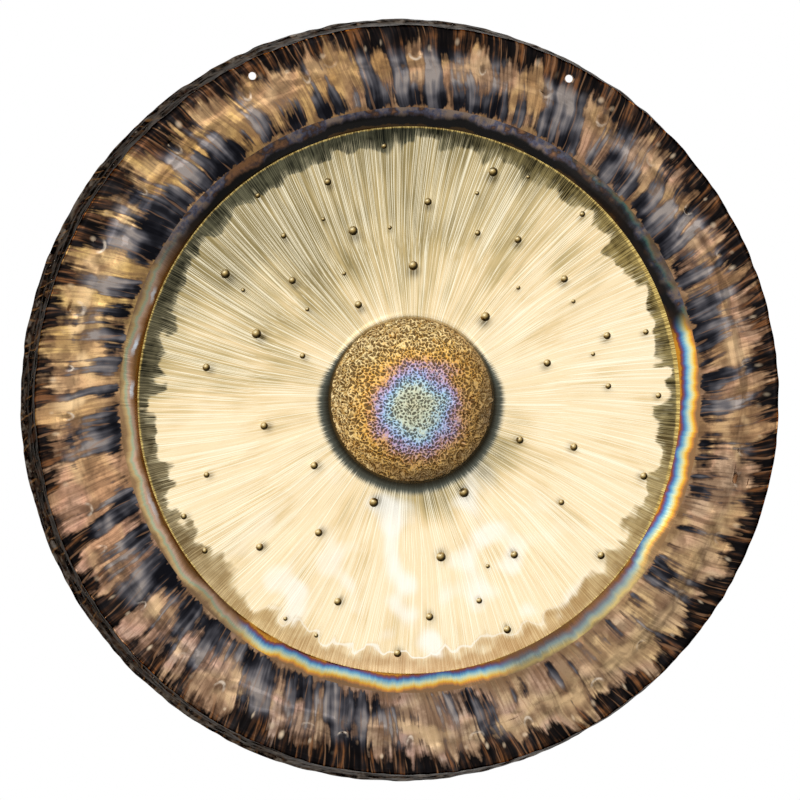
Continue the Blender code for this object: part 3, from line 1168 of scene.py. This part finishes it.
def boss_paint():
    """Rings of heat colour, painted highlights high on the left, painted shade low right and in pits."""
    away = vector_calc("SUBTRACT", object_place(), HOT_SPOT)
    away = vector_calc("MULTIPLY", away, (1, 0, 1))
    away = vector_calc("LENGTH", away) - vector_calc("DOT_PRODUCT", away, RING_PULL)
    wobble = remap(speckle(38, 3), 0.2, 0.8, -0.012, 0.012, False)
    grit = remap(speckle(330, 1), 0.2, 0.8, -0.005, 0.005, False)
    spread = away + (wobble + grit)
    ridge = ramp(spread * 10.0, [
        (0.00, 196, 192, 154), (0.15, 202, 214, 192), (0.25, 170, 208, 228), (0.34, 168, 188, 236),
        (0.41, 190, 160, 196), (0.48, 222, 164, 116), (0.56, 250, 190, 84), (0.68, 244, 194, 98),
        (0.80, 230, 194, 126), (0.95, 206, 176, 128),
    ])
    _, up, right = on_sheet()
    low = right * 0.7 - up * 0.7
    far_out = remap(spread, 0.030, 0.080)
    crumple = remap(speckle(380, 2), 0.38, 0.62)
    patch = remap(speckle(70, 3), 0.40, 0.60)
    # Painted highlight on the upper left of the boss, and painted shade on its lower right
    painted_highlight = remap(low, 0.4, -0.8) * remap(spread, 0.050, 0.082)
    painted_shade = remap(low, -0.3, 0.9) * far_out
    ridge = coats(
        ridge,
        (crumple * 0.2, (255, 240, 206)),
        (patch * far_out * 0.55, (200, 146, 72)),
        ((crumple * 0.5 + 0.3) * painted_highlight, (255, 232, 172)),
        (painted_shade * 0.95, (112, 98, 78)),
    )
    # Painted shade in the pits, browner further out
    pit_shade = coats(ridge, (0.84, (46, 38, 24)), (far_out * 0.65, (126, 94, 52)))
    uneven = remap(speckle(460, 3), 0.3, 0.7, -0.5, 0.5, False)
    return blend(remap(attribute("pit") + uneven, 0.10, 0.85), ridge, pit_shade), speckle(900)


finish(boss, "chased_net", "centre_boss", boss_paint, roughness=0.24, depth=0.4 * MM)

# %% [markdown]
# ## The field's colours
#
# A wire brush left thousands of bright scratches that run outwards. They are fibre noise over
# a ground that goes from cream to khaki, painted shade where the field leans from the light, the
# way the photo does. Round the boss lies a dark hollow of painted shade, with the boss's painted
# shadow beyond it low on the right, and past the scallops a dark hatched edge. Low on the field
# lies painted glare.

# %% The field's colours
# The directions in which the field's painted shade and the boss's painted shadow grow
SHADE_SIDE = (-0.38, 0, 0.92)
BOSS_SHADOW_SIDE = (0.5, 0, -0.86)


def from_centre(side):
    """How far a place lies from the disc's centre towards one side, in metres."""
    return vector_calc("DOT_PRODUCT", centred_place(), side)


def scratches():
    """Fine scratches, fewer near the boss and more outwards, so that they stay as fine."""
    inner = fibres(1000, 5, 1, 2, 0.3)
    outer = fibres(2000, 5, 2, 2, -0.3)
    return blend(remap(on_sheet()[0], 0.15, 0.21), inner, outer)


def hollow_shade(front, fine):
    """Painted shade in a dark ring round the boss: none on top, widest low on the right, soft outside."""
    along, up, right = on_sheet()
    width = remap(up, 1.12, -0.05) * remap(right, -1.1, 0.2, 0.0176, 0.0184)
    cut_back = remap(fine, 0.46, 0.66) * 0.0032
    reach = along - (width + (BAND["boss_moat"][0] - 1 * MM) - cut_back)
    dark = blend(remap(reach, -0.012, 0.0), (46, 42, 32), (84, 87, 78))
    return blend(remap(reach, -0.0034, 0.0030), dark, front)


def field_paint():
    """Bright scratches over cream, with painted shade that turns it sandy and khaki away from the light.
    """
    along, up, _ = on_sheet()
    fine = scratches()
    patches = remap(fibres(34, 14, 7, 2), 0.3, 0.7, -0.26, 0.26, False)
    bundles = remap(fibres(420, 5, 15, 2, 0.1), 0.35, 0.65, 0.16, -0.12, False)
    # Painted shade: the ground turns sandy and khaki towards the upper left, where the field leans from
    # the light
    high = remap(from_centre(SHADE_SIDE), 0.02, 0.21, 0.0, 0.95, False)
    # Painted shadow of the boss on the field, low on its right
    boss_shadow = remap(from_centre(BOSS_SHADOW_SIDE), 0.04, 0.10) * remap(along, 0.165, 0.115)
    shade = high + boss_shadow * 0.85 + patches + bundles
    ground = ramp(shade, [
        (0.00, 244, 222, 180), (0.25, 232, 206, 158), (0.60, 194, 172, 122), (1.00, 142, 126, 84),
    ])
    lines = remap(fine, 0.50, 0.61) * remap(shade, 0.0, 1.0, 0.85, 0.75)
    # Painted glare: pale patches low on the field
    glare = remap(speckle(22, 1), 0.50, 0.68) * remap(up, -0.5, -1.0)
    # Painted shade beside each raised point, with the scratches running through it
    shade_beside_points = attribute("point_shade") * remap(fine, 0.58, 0.44, 0.4, 1.0)
    front = coats(ground, (lines, (255, 246, 218)), (glare * 0.7, (255, 253, 244)), (shade_beside_points, (62, 54, 32)))
    return hollow_shade(front, fine), fine


print(f"the field runs from {field_start:.3f} to {field_end:.3f} m along the sheet")

# %% [markdown]
# ## The scalloped edge's colours
#
# Past the lobes the brush never came. There the edge is painted dark, as a reflection of dark
# surroundings, darkest on top and hatched by the last hairs of the brush. At the bottom it is as
# light as the field, with a painted highlight along the lobes, and a thin gold line closes it outside.
# The attribute past_lobes says where it starts, and noise makes that line ragged.

# %% The scalloped edge's colours
def scalloped_paint():
    """The field, and outside its lobes the edge of painted dark reflection, hatched by fine bright lines.
    """
    along = on_sheet()[0]
    front, fine = field_paint()
    lobes = attribute("past_lobes")
    ragged = (fibres(1300, 25, 6, 2) - 0.5) * 0.009
    blotch = (speckle(50, 1) - 0.5) * 0.040
    past = lobes + (ragged + blotch)
    hatch = remap(fibres(2000, 9, 8, 1), 0.46, 0.58)
    mottle = remap(fibres(70, 50, 16, 2), 0.36, 0.64)
    # Painted reflection of dark surroundings, darkest on top and lightest at the bottom; the hatch colour
    # below darkens the same way
    deep = clock_colours([
        (0, 20, 22, 18), (35, 32, 29, 18), (60, 62, 49, 22), (90, 34, 32, 20), (115, 126, 104, 64),
        (150, 178, 140, 92), (180, 196, 158, 114), (215, 176, 144, 96), (245, 72, 60, 38),
        (270, 26, 25, 18), (315, 32, 32, 24),
    ])
    bright = clock_colours([
        (0, 108, 106, 82), (60, 206, 180, 112), (90, 184, 166, 112), (150, 238, 210, 158),
        (180, 246, 220, 176), (215, 238, 212, 160), (270, 132, 122, 92), (315, 124, 120, 94),
    ])
    gold_width = clock_levels([
        (0, 0.0012), (40, 0.0015), (70, 0.0050), (110, 0.0030), (140, 0.0004), (220, 0.0004),
        (250, 0.0018), (300, 0.0014),
    ])
    run_out = remap(fine, 0.50, 0.60) * remap(past, 0.012, 0.001, 0.0, 0.5)
    lip = along + gold_width - BAND["field_border"][1] + ragged * 0.4
    dark = coats(
        deep,
        (hatch * 0.36 + mottle * 0.26, bright),
        (run_out, (236, 222, 180)),
        (remap(lip, -0.0010, 0.0010) * 0.8, blend(hatch, (150, 124, 66), (232, 204, 124))),
    )
    soft = clock_levels([(0, 0.0024), (110, 0.0024), (150, 0.0080), (210, 0.0080), (240, 0.0024)])
    contour = remap(abs(lobes + blotch * 0.7 + 0.002), 0.0024, 0.0002)
    # A painted highlight along the lobes' contour, low on the disc
    glow = contour * clock_levels([(135, 0.0), (160, 0.4), (178, 0.75), (200, 0.5), (222, 0.0)])
    return coats(front, (remap(past / soft, -1.0, 1.0), dark), (glow, (255, 252, 240))), fine


print(f"the edge runs on to {BAND['field_border'][1]:.3f} m")

# %% [markdown]
# ## The finishes of the field, its edge and the hollow
#
# All three bands show the same brushing, so that no line shows where they meet. The edge is
# grooved a little deeper, and the hollow gets painted shade at the foot of the boss.

# %% The finishes of the field, its edge and the hollow
def moat_paint():
    """The field's brushing, with painted brown shade all round the foot of the boss."""
    start = BAND["boss_moat"][0]
    # Painted shade where the hollow meets the foot of the boss
    foot = remap(on_sheet()[0], start + 5 * MM, start, smooth=False)
    front, fine = field_paint()
    return blend(foot * 0.8, front, (112, 92, 58)), fine


finish(field, "brushed_field", "striking_field", scalloped_paint,
       roughness=0.27, depth=0.3 * MM)
finish(border, "grooved_edge", "field_border", scalloped_paint,
       roughness=0.27, depth=0.6 * MM)
finish(moat, "smooth_hollow", "boss_moat", moat_paint,
       roughness=0.25, depth=0.2 * MM)

# %% [markdown]
# ## The points' finish
#
# The points are bare metal as well. So small a dome reflects the whole room at once, which
# comes out too even, so the attributes side and top paint it light above and dark below.

# %% The points' finish
def finish_points():
    """Painted light and shade: nearly black on the lower side to pale gold on the upper, and a pale foot.
    """
    material = bare_metal("golden_points", 0.22)
    top = attribute("top")
    lit = remap(attribute("side"), -0.9, 0.9, 0.0, 0.8, False) + top * 0.3
    front = ramp(lit, [
        (0.10, 28, 23, 12), (0.36, 56, 46, 24), (0.56, 112, 92, 52), (0.74, 180, 154, 98),
        (0.88, 248, 232, 188),
    ])
    feed(material, "Base Color", blend(remap(top, 0.28, 0.05), front, (226, 206, 160)))
    wear(nubs, material, "striking_field")


finish_points()

# %% [markdown]
# ## The channel's finish
#
# A flame was led round the channel, and the oxide left bands of colour along it. Each palette
# below is one state of that oxide, read across the channel, and the clock angle chooses
# between them: dark on top, bright at the right and the bottom, rosy on the left.

# %% The channel's finish
PALETTES = {
    "rainbow": [
        (0.00, 206, 140, 36), (0.06, 150, 76, 36), (0.14, 128, 80, 100), (0.22, 84, 104, 166),
        (0.34, 110, 172, 206), (0.48, 186, 214, 198), (0.60, 230, 216, 146), (0.72, 238, 180, 56),
        (0.82, 200, 132, 62), (0.92, 140, 104, 68),
    ],
    "dusk": [
        (0.00, 52, 36, 14), (0.06, 12, 9, 7), (0.46, 13, 11, 10), (0.60, 58, 44, 38),
        (0.72, 84, 68, 72), (0.84, 96, 78, 62), (1.00, 96, 74, 52),
    ],
    "teal": [
        (0.00, 70, 44, 14), (0.12, 36, 22, 10), (0.56, 18, 16, 15), (0.72, 30, 42, 46),
        (0.82, 58, 86, 78), (0.92, 94, 92, 70), (1.00, 92, 74, 52),
    ],
    "rose": [
        (0.00, 120, 84, 30), (0.14, 112, 76, 38), (0.34, 146, 108, 76), (0.52, 172, 142, 120),
        (0.66, 140, 150, 122), (0.80, 160, 134, 90), (1.00, 120, 92, 62),
    ],
    "muted": [
        (0.00, 124, 84, 36), (0.20, 116, 80, 60), (0.40, 92, 94, 98), (0.55, 108, 122, 118),
        (0.70, 142, 138, 108), (0.85, 172, 150, 92), (1.00, 140, 114, 78),
    ],
}

# Where each palette takes over: the clock angle, and the ease on each side of it, in degrees
CHANGES = [
    (36, 12, "teal"), (72, 4, "rainbow"), (120, 12, "muted"), (158, 5, "rainbow"), (212, 4, "rose"),
    (296, 12, "dusk"),
]
# The wobble is 0.03 high, and the channel lies about 0.35 m along the sheet. Half of the one
# and a share of the other are taken off again, so that the angles above hold on average.
WOBBLE_HEIGHT, ALONG_SHARE, CHANNEL_ALONG = 0.03, 0.25, 0.35
TURN_SHIFT = WOBBLE_HEIGHT / 2 + ALONG_SHARE * CHANNEL_ALONG


def channel_paint():
    """Palettes blended by the clock angle, each drifting a little in and out, and painted glints on the
    left.
    """
    along = on_sheet()[0]
    drift = (fibres(40, 2, 11, 3) - 0.5) * 0.030
    fine = fibres(500, 20, 12, 2)
    band = along + (drift + (fine - 0.5) * 0.004)
    across = remap(band, *BAND["tinted_channel"], smooth=False)
    shades = {name: ramp(across, stops) for name, stops in PALETTES.items()}
    flush = ramp(fibres(44, 12, 19, 2) * 0.6 + speckle(130, 3) * 0.4, [
        (0.42, 122, 84, 52), (0.49, 48, 36, 34), (0.54, 66, 72, 92), (0.60, 120, 104, 92),
    ])
    shades["dusk"] = blend(remap(across, 0.40, 0.75, 0.0, 0.85), shades["dusk"], flush)
    mixed = remap(fibres(60, 3, 17, 2), 0.42, 0.60)
    shades["teal"] = blend(mixed, shades["teal"], shades["dusk"])
    wobble = fibres(30, 1, 13, 2) * WOBBLE_HEIGHT + along * ALONG_SHARE
    turn = by_clock() + (wobble - TURN_SHIFT)
    front = shades["dusk"]
    for degrees, ease, name in CHANGES:
        share = remap(turn, (degrees - ease) / 360, (degrees + ease) / 360)
        front = blend(share, front, shades[name])
    dimmer = clock_levels([(115, 0.0), (135, 0.10), (160, 0.26), (205, 0.26), (225, 0.20), (243, 0.0)])
    # Painted glints: small reflections on the left side of the channel
    glint = clock_levels([
        (243, 0.0), (248, 0.4), (253, 0.0), (270, 0.0), (272, 0.9), (274, 0.0), (279, 0.0),
        (281, 1.0), (283.5, 0.0), (290, 0.0), (292, 0.7), (294, 0.0),
    ])
    middle = remap(abs(across - 0.34), 0.16, 0.04)
    return coats(front, (dimmer, (40, 44, 48)), (glint * middle, (214, 226, 236))), fine


finish(channel, "heat_tint", "tinted_channel", channel_paint,
       roughness=0.16, depth=0.2 * MM, coat=0.2)

# %% [markdown]
# ## The rim's finish
#
# The rim was smoked over a fire, and the smoke stayed in strips that lean a little. Painted by
# hand they would look drawn, so they come from noise, in four steps: thin copper lines, the
# colours of metal and smoke, the painted highlights and shade in the dents, and last where the smoke lies.

# %% The rim's finish
RIM_START = BAND["rim_crown"][0]
RIM_REACH = BAND["side_wall"][1] - RIM_START
LEAN = 0.5
LINES = 480


def rim_levels(along, stops):
    """Numbers against the distance outwards from the channel. Each stop is (metres, level)."""
    return levels(remap(along, RIM_START, RIM_START + RIM_REACH, smooth=False), stops, RIM_REACH)


def copper_lines():
    """Thin lines of clean metal, about one to each degree and a half, wandering a little.

    A number that grows with the clock angle is folded into a zigzag. A line lies on each
    of its low corners, and is as wide as another noise says.
    """
    wander = fibres(60, 7, 27, 1, LEAN)
    ripple = fibres(300, 40, 25, 1, LEAN)
    lean = on_sheet()[0] * (LEAN * LINES / (2 * math.pi))
    zigzag = calc("PINGPONG", by_clock() * LINES + lean + wander * 8.0 + ripple * 0.8, 1.0)
    strong = remap(fibres(260, 16, 28, 2, LEAN), 0.44, 0.64)
    return remap(zigzag - strong * 0.30, 0.0, -0.16)


print(f"the rim's finish reaches {RIM_REACH:.3f} m outwards")

# %% [markdown]
# ## Bare metal and smoke
#
# Between the smoke the metal shows in clouds of gold, tan and rose, with painted gleams over the
# crest. The smoke itself is nearly black near the channel, has a painted grey sheen over the crest,
# and turns rusty outside. Both are colours only: which of them shows is decided last.

# %% Bare metal and smoke
def light_metal(along, strip, hair):
    """Bare metal between the smoke: clouds of gold, tan and rose, brown hairs, and painted gleams."""
    clouds = ramp(speckle(18, 1), [
        (0.38, 176, 136, 82), (0.45, 208, 174, 116), (0.50, 196, 162, 124), (0.56, 208, 160, 136),
        (0.62, 182, 158, 138),
    ])
    tone = clock_colours([
        (0, 178, 136, 94), (45, 160, 126, 98), (90, 188, 148, 114), (135, 204, 174, 134),
        (180, 168, 146, 136), (225, 180, 148, 130), (250, 224, 168, 138), (285, 238, 198, 122),
        (333, 200, 158, 98),
    ])
    crest = rim_levels(along, [(0.022, 0.0), (0.038, 0.8), (0.052, 1.0), (0.066, 0.5), (0.078, 0.0)])
    share = clock_levels([
        (0, 0.3), (45, 0.3), (90, 0.6), (135, 0.6), (180, 0.5), (225, 0.65), (270, 1.0), (315, 0.15),
    ])
    # Painted gleams over the crest, most on the left
    gleam = remap(speckle(26, 2), 0.50, 0.66) * (crest * share)
    return coats(
        clouds,
        (0.6, tone),
        (remap(speckle(50, 3), 0.58, 0.40, 0.0, 0.60), (98, 72, 52)),
        (remap(strip, 0.44, 0.58, 0.0, 0.55), (116, 86, 64)),
        (remap(speckle(480, 2), 0.50, 0.66, 0.0, 0.15), (92, 66, 46)),
        (remap(hair, 0.48, 0.60, 0.0, 0.40), (84, 60, 44)),
        (gleam, (250, 212, 160)),
    )


def dark_smoke(along, strip, hair):
    """Smoke: nearly black near the channel, with a painted grey sheen over the crest, and rusty outside.
    """
    # Painted sheen: the smoke lighter and greyer over the crest
    sheen = rim_levels(along, [(0.008, 0.0), (0.024, 0.5), (0.036, 0.9), (0.052, 0.6), (0.066, 0.0)])
    smoke = ramp(speckle(34, 2) * 0.5 + strip * 0.5 + sheen * 0.13, [
        (0.43, 17, 17, 21), (0.50, 32, 32, 37), (0.56, 64, 63, 68), (0.62, 104, 100, 102),
        (0.68, 146, 136, 130),
    ])
    rust = ramp(strip * 0.35 + hair * 0.45 + speckle(60, 3) * 0.20, [
        (0.44, 14, 12, 12), (0.50, 24, 19, 17), (0.55, 60, 40, 27), (0.61, 120, 78, 46),
    ])
    return blend(rim_levels(along, [(0.056, 0.0), (0.070, 0.9)]), smoke, rust)


print("metal and smoke can be mixed")

# %% [markdown]
# ## Painted light and shade in the dents
#
# Each dent gets painted light: a pale loop of painted highlight on the lip that faces the boss,
# painted shade inside, and on the smallest dents a painted highlight spot.

# %% Painted light and shade in the dents
def dent_light_and_shade(front):
    """Painted highlights: loops on the boss side of the dents and small spots, and painted shade inside.
    """
    away, out, mark = attribute("dent_away"), attribute("dent_out"), attribute("dent_mark")
    strong = clock_levels([
        (0, 0.6), (45, 0.7), (90, 0.7), (135, 0.6), (165, 1.0), (225, 1.0), (270, 0.8), (315, 0.7),
    ])
    # Painted highlight: a pale loop on the lip that faces the boss
    loop = remap(abs(away - 0.70), 0.24, 0.04) * remap(out, 0.1, -0.60) * (mark * 0.9 * strong)
    broken = remap(speckle(150, 2), 0.36, 0.60, 0.25, 1.0)
    # Painted shade inside the looped dents
    dent_shade = remap(away, 0.62, 0.25) * remap(mark, 0.2, 0.8, 0.0, 0.45)
    # Painted highlight spots on the smallest dents
    spot = remap(away, 0.70, 0.10) * remap(mark, -0.35, -1.0, 0.0, 0.7)
    return coats(
        front,
        (dent_shade, (26, 22, 22)),
        (loop * broken, (244, 226, 204)),
        (spot * strong, (236, 212, 180)),
    )


# Counts the dents that get a painted highlight loop
print(f"painted_highlights for {sum(1 for dent in DENTS if dent[-1] > 0)} looped dents")

# %% [markdown]
# ## Where the smoke lies
#
# Three sizes of leaning fibres and some even noise make one number for each place. Where it
# passes the limit there is smoke. The limit changes outwards and with the clock angle, so that
# each side of the disc is as dark as in the photo.

# %% Where the smoke lies
def smoke_limit(along):
    """What the mixed noise must pass to count as smoke: a lower limit leaves more smoke."""
    teeth = (fibres(380, 3, 22, 2) - 0.5) * 0.016
    outwards = rim_levels(along + teeth, [
        (0.0, 0.57), (0.002, 0.49), (0.005, 0.445), (0.014, 0.450), (0.024, 0.475), (0.032, 0.505),
        (0.050, 0.535), (0.060, 0.505), (0.071, 0.445), (0.080, 0.395), (0.095, 0.36),
    ])
    over_crest = clock_levels([
        (0, 0.495), (45, 0.475), (90, 0.50), (135, 0.54), (160, 0.53), (180, 0.505), (225, 0.475),
        (270, 0.535), (315, 0.470), (333, 0.51),
    ]) - 0.5
    outside = clock_levels([
        (0, -0.02), (45, -0.01), (90, 0.01), (135, 0.02), (180, 0.04), (225, 0.055), (270, 0.13),
        (315, 0.01),
    ])
    inside = clock_levels([(100, 0.0), (135, 0.035), (165, 0.075), (190, 0.06), (212, 0.0)])
    tilt = over_crest * rim_levels(along, [(0.008, 0.6), (0.030, 1.0), (0.060, 1.0), (0.072, 0.0)])
    outside = outside * rim_levels(along, [(0.056, 0.0), (0.072, 1.0)])
    inside = inside * rim_levels(along, [(0.010, 1.0), (0.026, 0.0)])
    return outwards + tilt + outside + inside


def rim_paint():
    """Soft strips of smoke over the metal, with a brown fringe, copper lines and the dents."""
    along = on_sheet()[0]
    broad = fibres(84, 5, 24, 1, LEAN, 0.06)
    strip = fibres(240, 9, 21, 2, LEAN, 0.06)
    hair = fibres(640, 16, 26, 2, LEAN, 0.05)
    mixed = broad * 0.48 + strip * 0.28 + hair * 0.12 + speckle(90, 3) * 0.12
    smoked = remap(mixed - smoke_limit(along), -0.030, 0.030)
    foot = remap(along, RIM_START + 0.012, RIM_START + 0.003, 0.0, 0.5)
    light = blend(foot, light_metal(along, strip, hair), (104, 78, 52))
    shown = rim_levels(along, [(0.0, 0.4), (0.03, 0.32), (0.055, 0.22), (0.072, 0.48)])
    front = coats(
        light,
        (smoked, dark_smoke(along, strip, hair)),
        (smoked * (1.0 - smoked) * 1.6, (88, 64, 48)),
        (copper_lines() * shown, (150, 112, 82)),
    )
    return dent_light_and_shade(front), strip


finish(crown, "smoked_crown", "rim_crown", rim_paint, roughness=0.15, depth=0.4 * MM)
finish(shoulder, "smoked_shoulder", "hanging_shoulder", rim_paint,
       roughness=0.17, depth=0.4 * MM, glancing=SOOTY_TINT)

# %% [markdown]
# ## The wall's finish
#
# The wall was hammered while it was bent back, so it is crinkled and grey all over. The photo
# shows it best on the left, where the rim's black strips and copper lines run on over it. Painted
# shade darkens the front corner, where the sheet turns back.

# %% The wall's finish
def wall_paint():
    """Crinkled grey, darker blocks and copper lines on the left, and painted shade on the front corner."""
    along = on_sheet()[0]
    start = BAND["side_wall"][0]
    crinkle = fibres(240, 38, 31, 3) * 0.7 + fibres(520, 90, 32, 2) * 0.3
    grey = ramp(crinkle, [
        (0.41, 20, 18, 18), (0.47, 54, 48, 45), (0.53, 92, 85, 80), (0.60, 148, 140, 132),
    ])
    left = clock_levels([(0, 0.3), (90, 0.3), (180, 0.3), (230, 0.8), (270, 1.0), (310, 0.9)])
    reach = remap(along, start + 55 * MM, start + 26 * MM, 0.45, 1.0)
    blocks = ramp(fibres(250, 30, 29, 2, LEAN) * 0.7 + fibres(600, 60, 30, 2, LEAN) * 0.3, [
        (0.42, 84, 72, 62), (0.48, 46, 40, 37), (0.53, 22, 20, 20), (0.60, 13, 12, 13),
    ])
    front = coats(
        grey,
        (reach * left, blocks),
        (copper_lines() * left * 0.7, (150, 118, 92)),
        # Painted shade on the front corner, where the sheet turns back
        (remap(along, start + 7 * MM, start + 2 * MM, 0.0, 0.8), (16, 14, 14)),
    )
    return front, crinkle


finish(wall, "smoked_wall", "side_wall", wall_paint,
       roughness=0.30, depth=2.0 * MM, glancing=SOOTY_TINT)

# %% [markdown]
# ## The light
#
# The disc hangs in a white room. The half of it behind the disc is plain white. The half in
# front is a soft key light, high on the left, over grey. This makes a dent in bare metal read
# as a dent. The camera itself sees only white. Three soft lamps in front and six behind add
# gleams at the dents and along the edge.

# %% The light
KEY_SIDE = np.array((-0.25, -0.85, 0.46))
KEY_SIDE /= np.linalg.norm(KEY_SIDE)
CENTRE = Vector((0.0, 0.0, CENTRE_Z))
FRONT_REACH, FRONT_SIZE = 3, 1.6
REAR_REACH, REAR_BACK, REAR_SIZE, REAR_RADIANCE = 2.1, 0.9, 0.6, 3.0


def make_world():
    """Bright in front and above, a little uneven beside that, darker below, and white behind."""
    world = bpy.data.worlds.new("studio")
    bpy.context.scene.world = world
    world.use_nodes = True
    desk["tree"] = world.node_tree
    toward = Value(add("ShaderNodeTexCoord").outputs["Generated"])
    axes = add("ShaderNodeSeparateXYZ", {0: toward}).outputs
    back, up = Value(axes["Y"]), Value(axes["Z"])
    key = vector_calc("DOT_PRODUCT", toward, KEY_SIDE.tolist())
    patches = remap(texture(toward, 2.6, 1.0), 0.40, 0.60, 0.78, 1.14)
    uneven = (patches - 1.0) * remap(back, -0.80, -0.50) + 1.0
    ahead = remap(key, -0.2, 0.85, 0.70, 1.14) * uneven
    behind = remap(up, -0.7, 0.3, 0.8, 1.0)
    around = blend(remap(back, -0.3, 0.2), ahead, behind)
    seen = Value(add("ShaderNodeLightPath").outputs["Is Camera Ray"])
    sky = world.node_tree.nodes["Background"]
    world.node_tree.links.new(blend(seen, around, (255, 255, 255)).socket, sky.inputs["Color"])


def soft_box(name, spot, size, radiance):
    """A square lamp that shines at the disc. A radiance of 1 shows as plain white in a mirror."""
    lamp = bpy.data.lights.new(name, "AREA")
    lamp.shape = "RECTANGLE"
    lamp.size = lamp.size_y = size
    lamp.energy = radiance * math.pi * size * size
    box = bpy.data.objects.new(name, lamp)
    bpy.context.scene.collection.objects.link(box)
    box.location = spot
    box.rotation_euler = (CENTRE - Vector(spot)).to_track_quat("-Z", "Y").to_euler()


make_world()
# Each lamp in front: its clock angle, its angle off the axis, both in degrees, and its radiance
for clock_angle, off_axis, radiance in ((-35, 48, 0.7), (75, 55, 0.5), (200, 52, 0.5)):
    turn, away = math.radians(clock_angle), math.radians(off_axis)
    aside = math.sin(away)
    way = Vector((aside * math.sin(turn), -math.cos(away), aside * math.cos(turn)))
    soft_box(f"front_{clock_angle % 360}", way * FRONT_REACH + CENTRE, FRONT_SIZE, radiance)
for clock_angle in (-60, -10, 45, 100, 170, 225):
    turn = math.radians(clock_angle)
    spot = (REAR_REACH * math.sin(turn), REAR_BACK, CENTRE_Z + REAR_REACH * math.cos(turn))
    soft_box(f"rear_{clock_angle % 360}", spot, REAR_SIZE, REAR_RADIANCE)
print(len(bpy.data.lights), "lamps")

# %% [markdown]
# ## The floor
#
# A plain pale disc. It lies well below, because the tam-tam hangs in the photo.

# %% The floor
FLOOR_DROP = 0.9
FLOOR_RADIUS = 1.1
FLOOR_GREY = 0.82


def lay_floor():
    """One flat polygon with a pale grey material."""
    height = cad_box[0][2] - FLOOR_DROP
    bpy.ops.mesh.primitive_circle_add(vertices=96, radius=FLOOR_RADIUS, fill_type="NGON",
                                      location=(0, 0, height))
    floor = bpy.context.object
    floor.name = "floor"
    material = bpy.data.materials.new("pale_floor")
    material.use_nodes = True
    inputs = material.node_tree.nodes["Principled BSDF"].inputs
    inputs["Base Color"].default_value = (FLOOR_GREY, FLOOR_GREY, FLOOR_GREY, 1.0)
    inputs["Roughness"].default_value = 0.9
    floor.data.materials.append(material)
    print(f"floor at {height:.3f} m")


lay_floor()

# %% [markdown]
# ## The camera
#
# It stands a little to the left, as in the photo, where the left wall shows. The lens follows
# from how many pixels a metre takes up in the photo at the distance of the disc.

# %% The camera
YAW = math.radians(7.48)
DISTANCE = 5.0
PIXELS_PER_METRE = 962.2
PICTURE = 800
SENSOR = 36
CENTRE_COLUMN = 407.66
AIM_SHIFT = (CENTRE_COLUMN - PICTURE / 2) / PIXELS_PER_METRE
TURNING_POINT = 30 * MM
camera_data = bpy.data.cameras.new("camera")
camera_data.sensor_width = SENSOR
camera_data.lens = SENSOR * PIXELS_PER_METRE * DISTANCE / PICTURE
camera_data.clip_end = 100
camera = bpy.data.objects.new("camera", camera_data)
bpy.context.scene.collection.objects.link(camera)
camera.location = (-DISTANCE * math.sin(YAW), TURNING_POINT - DISTANCE * math.cos(YAW), CENTRE_Z)
camera.rotation_euler = (math.pi / 2, 0, -YAW + AIM_SHIFT / DISTANCE)
bpy.context.scene.camera = camera
bpy.context.scene.view_settings.view_transform = "Standard"
print(f"lens {camera_data.lens:.1f} mm at {DISTANCE} m")
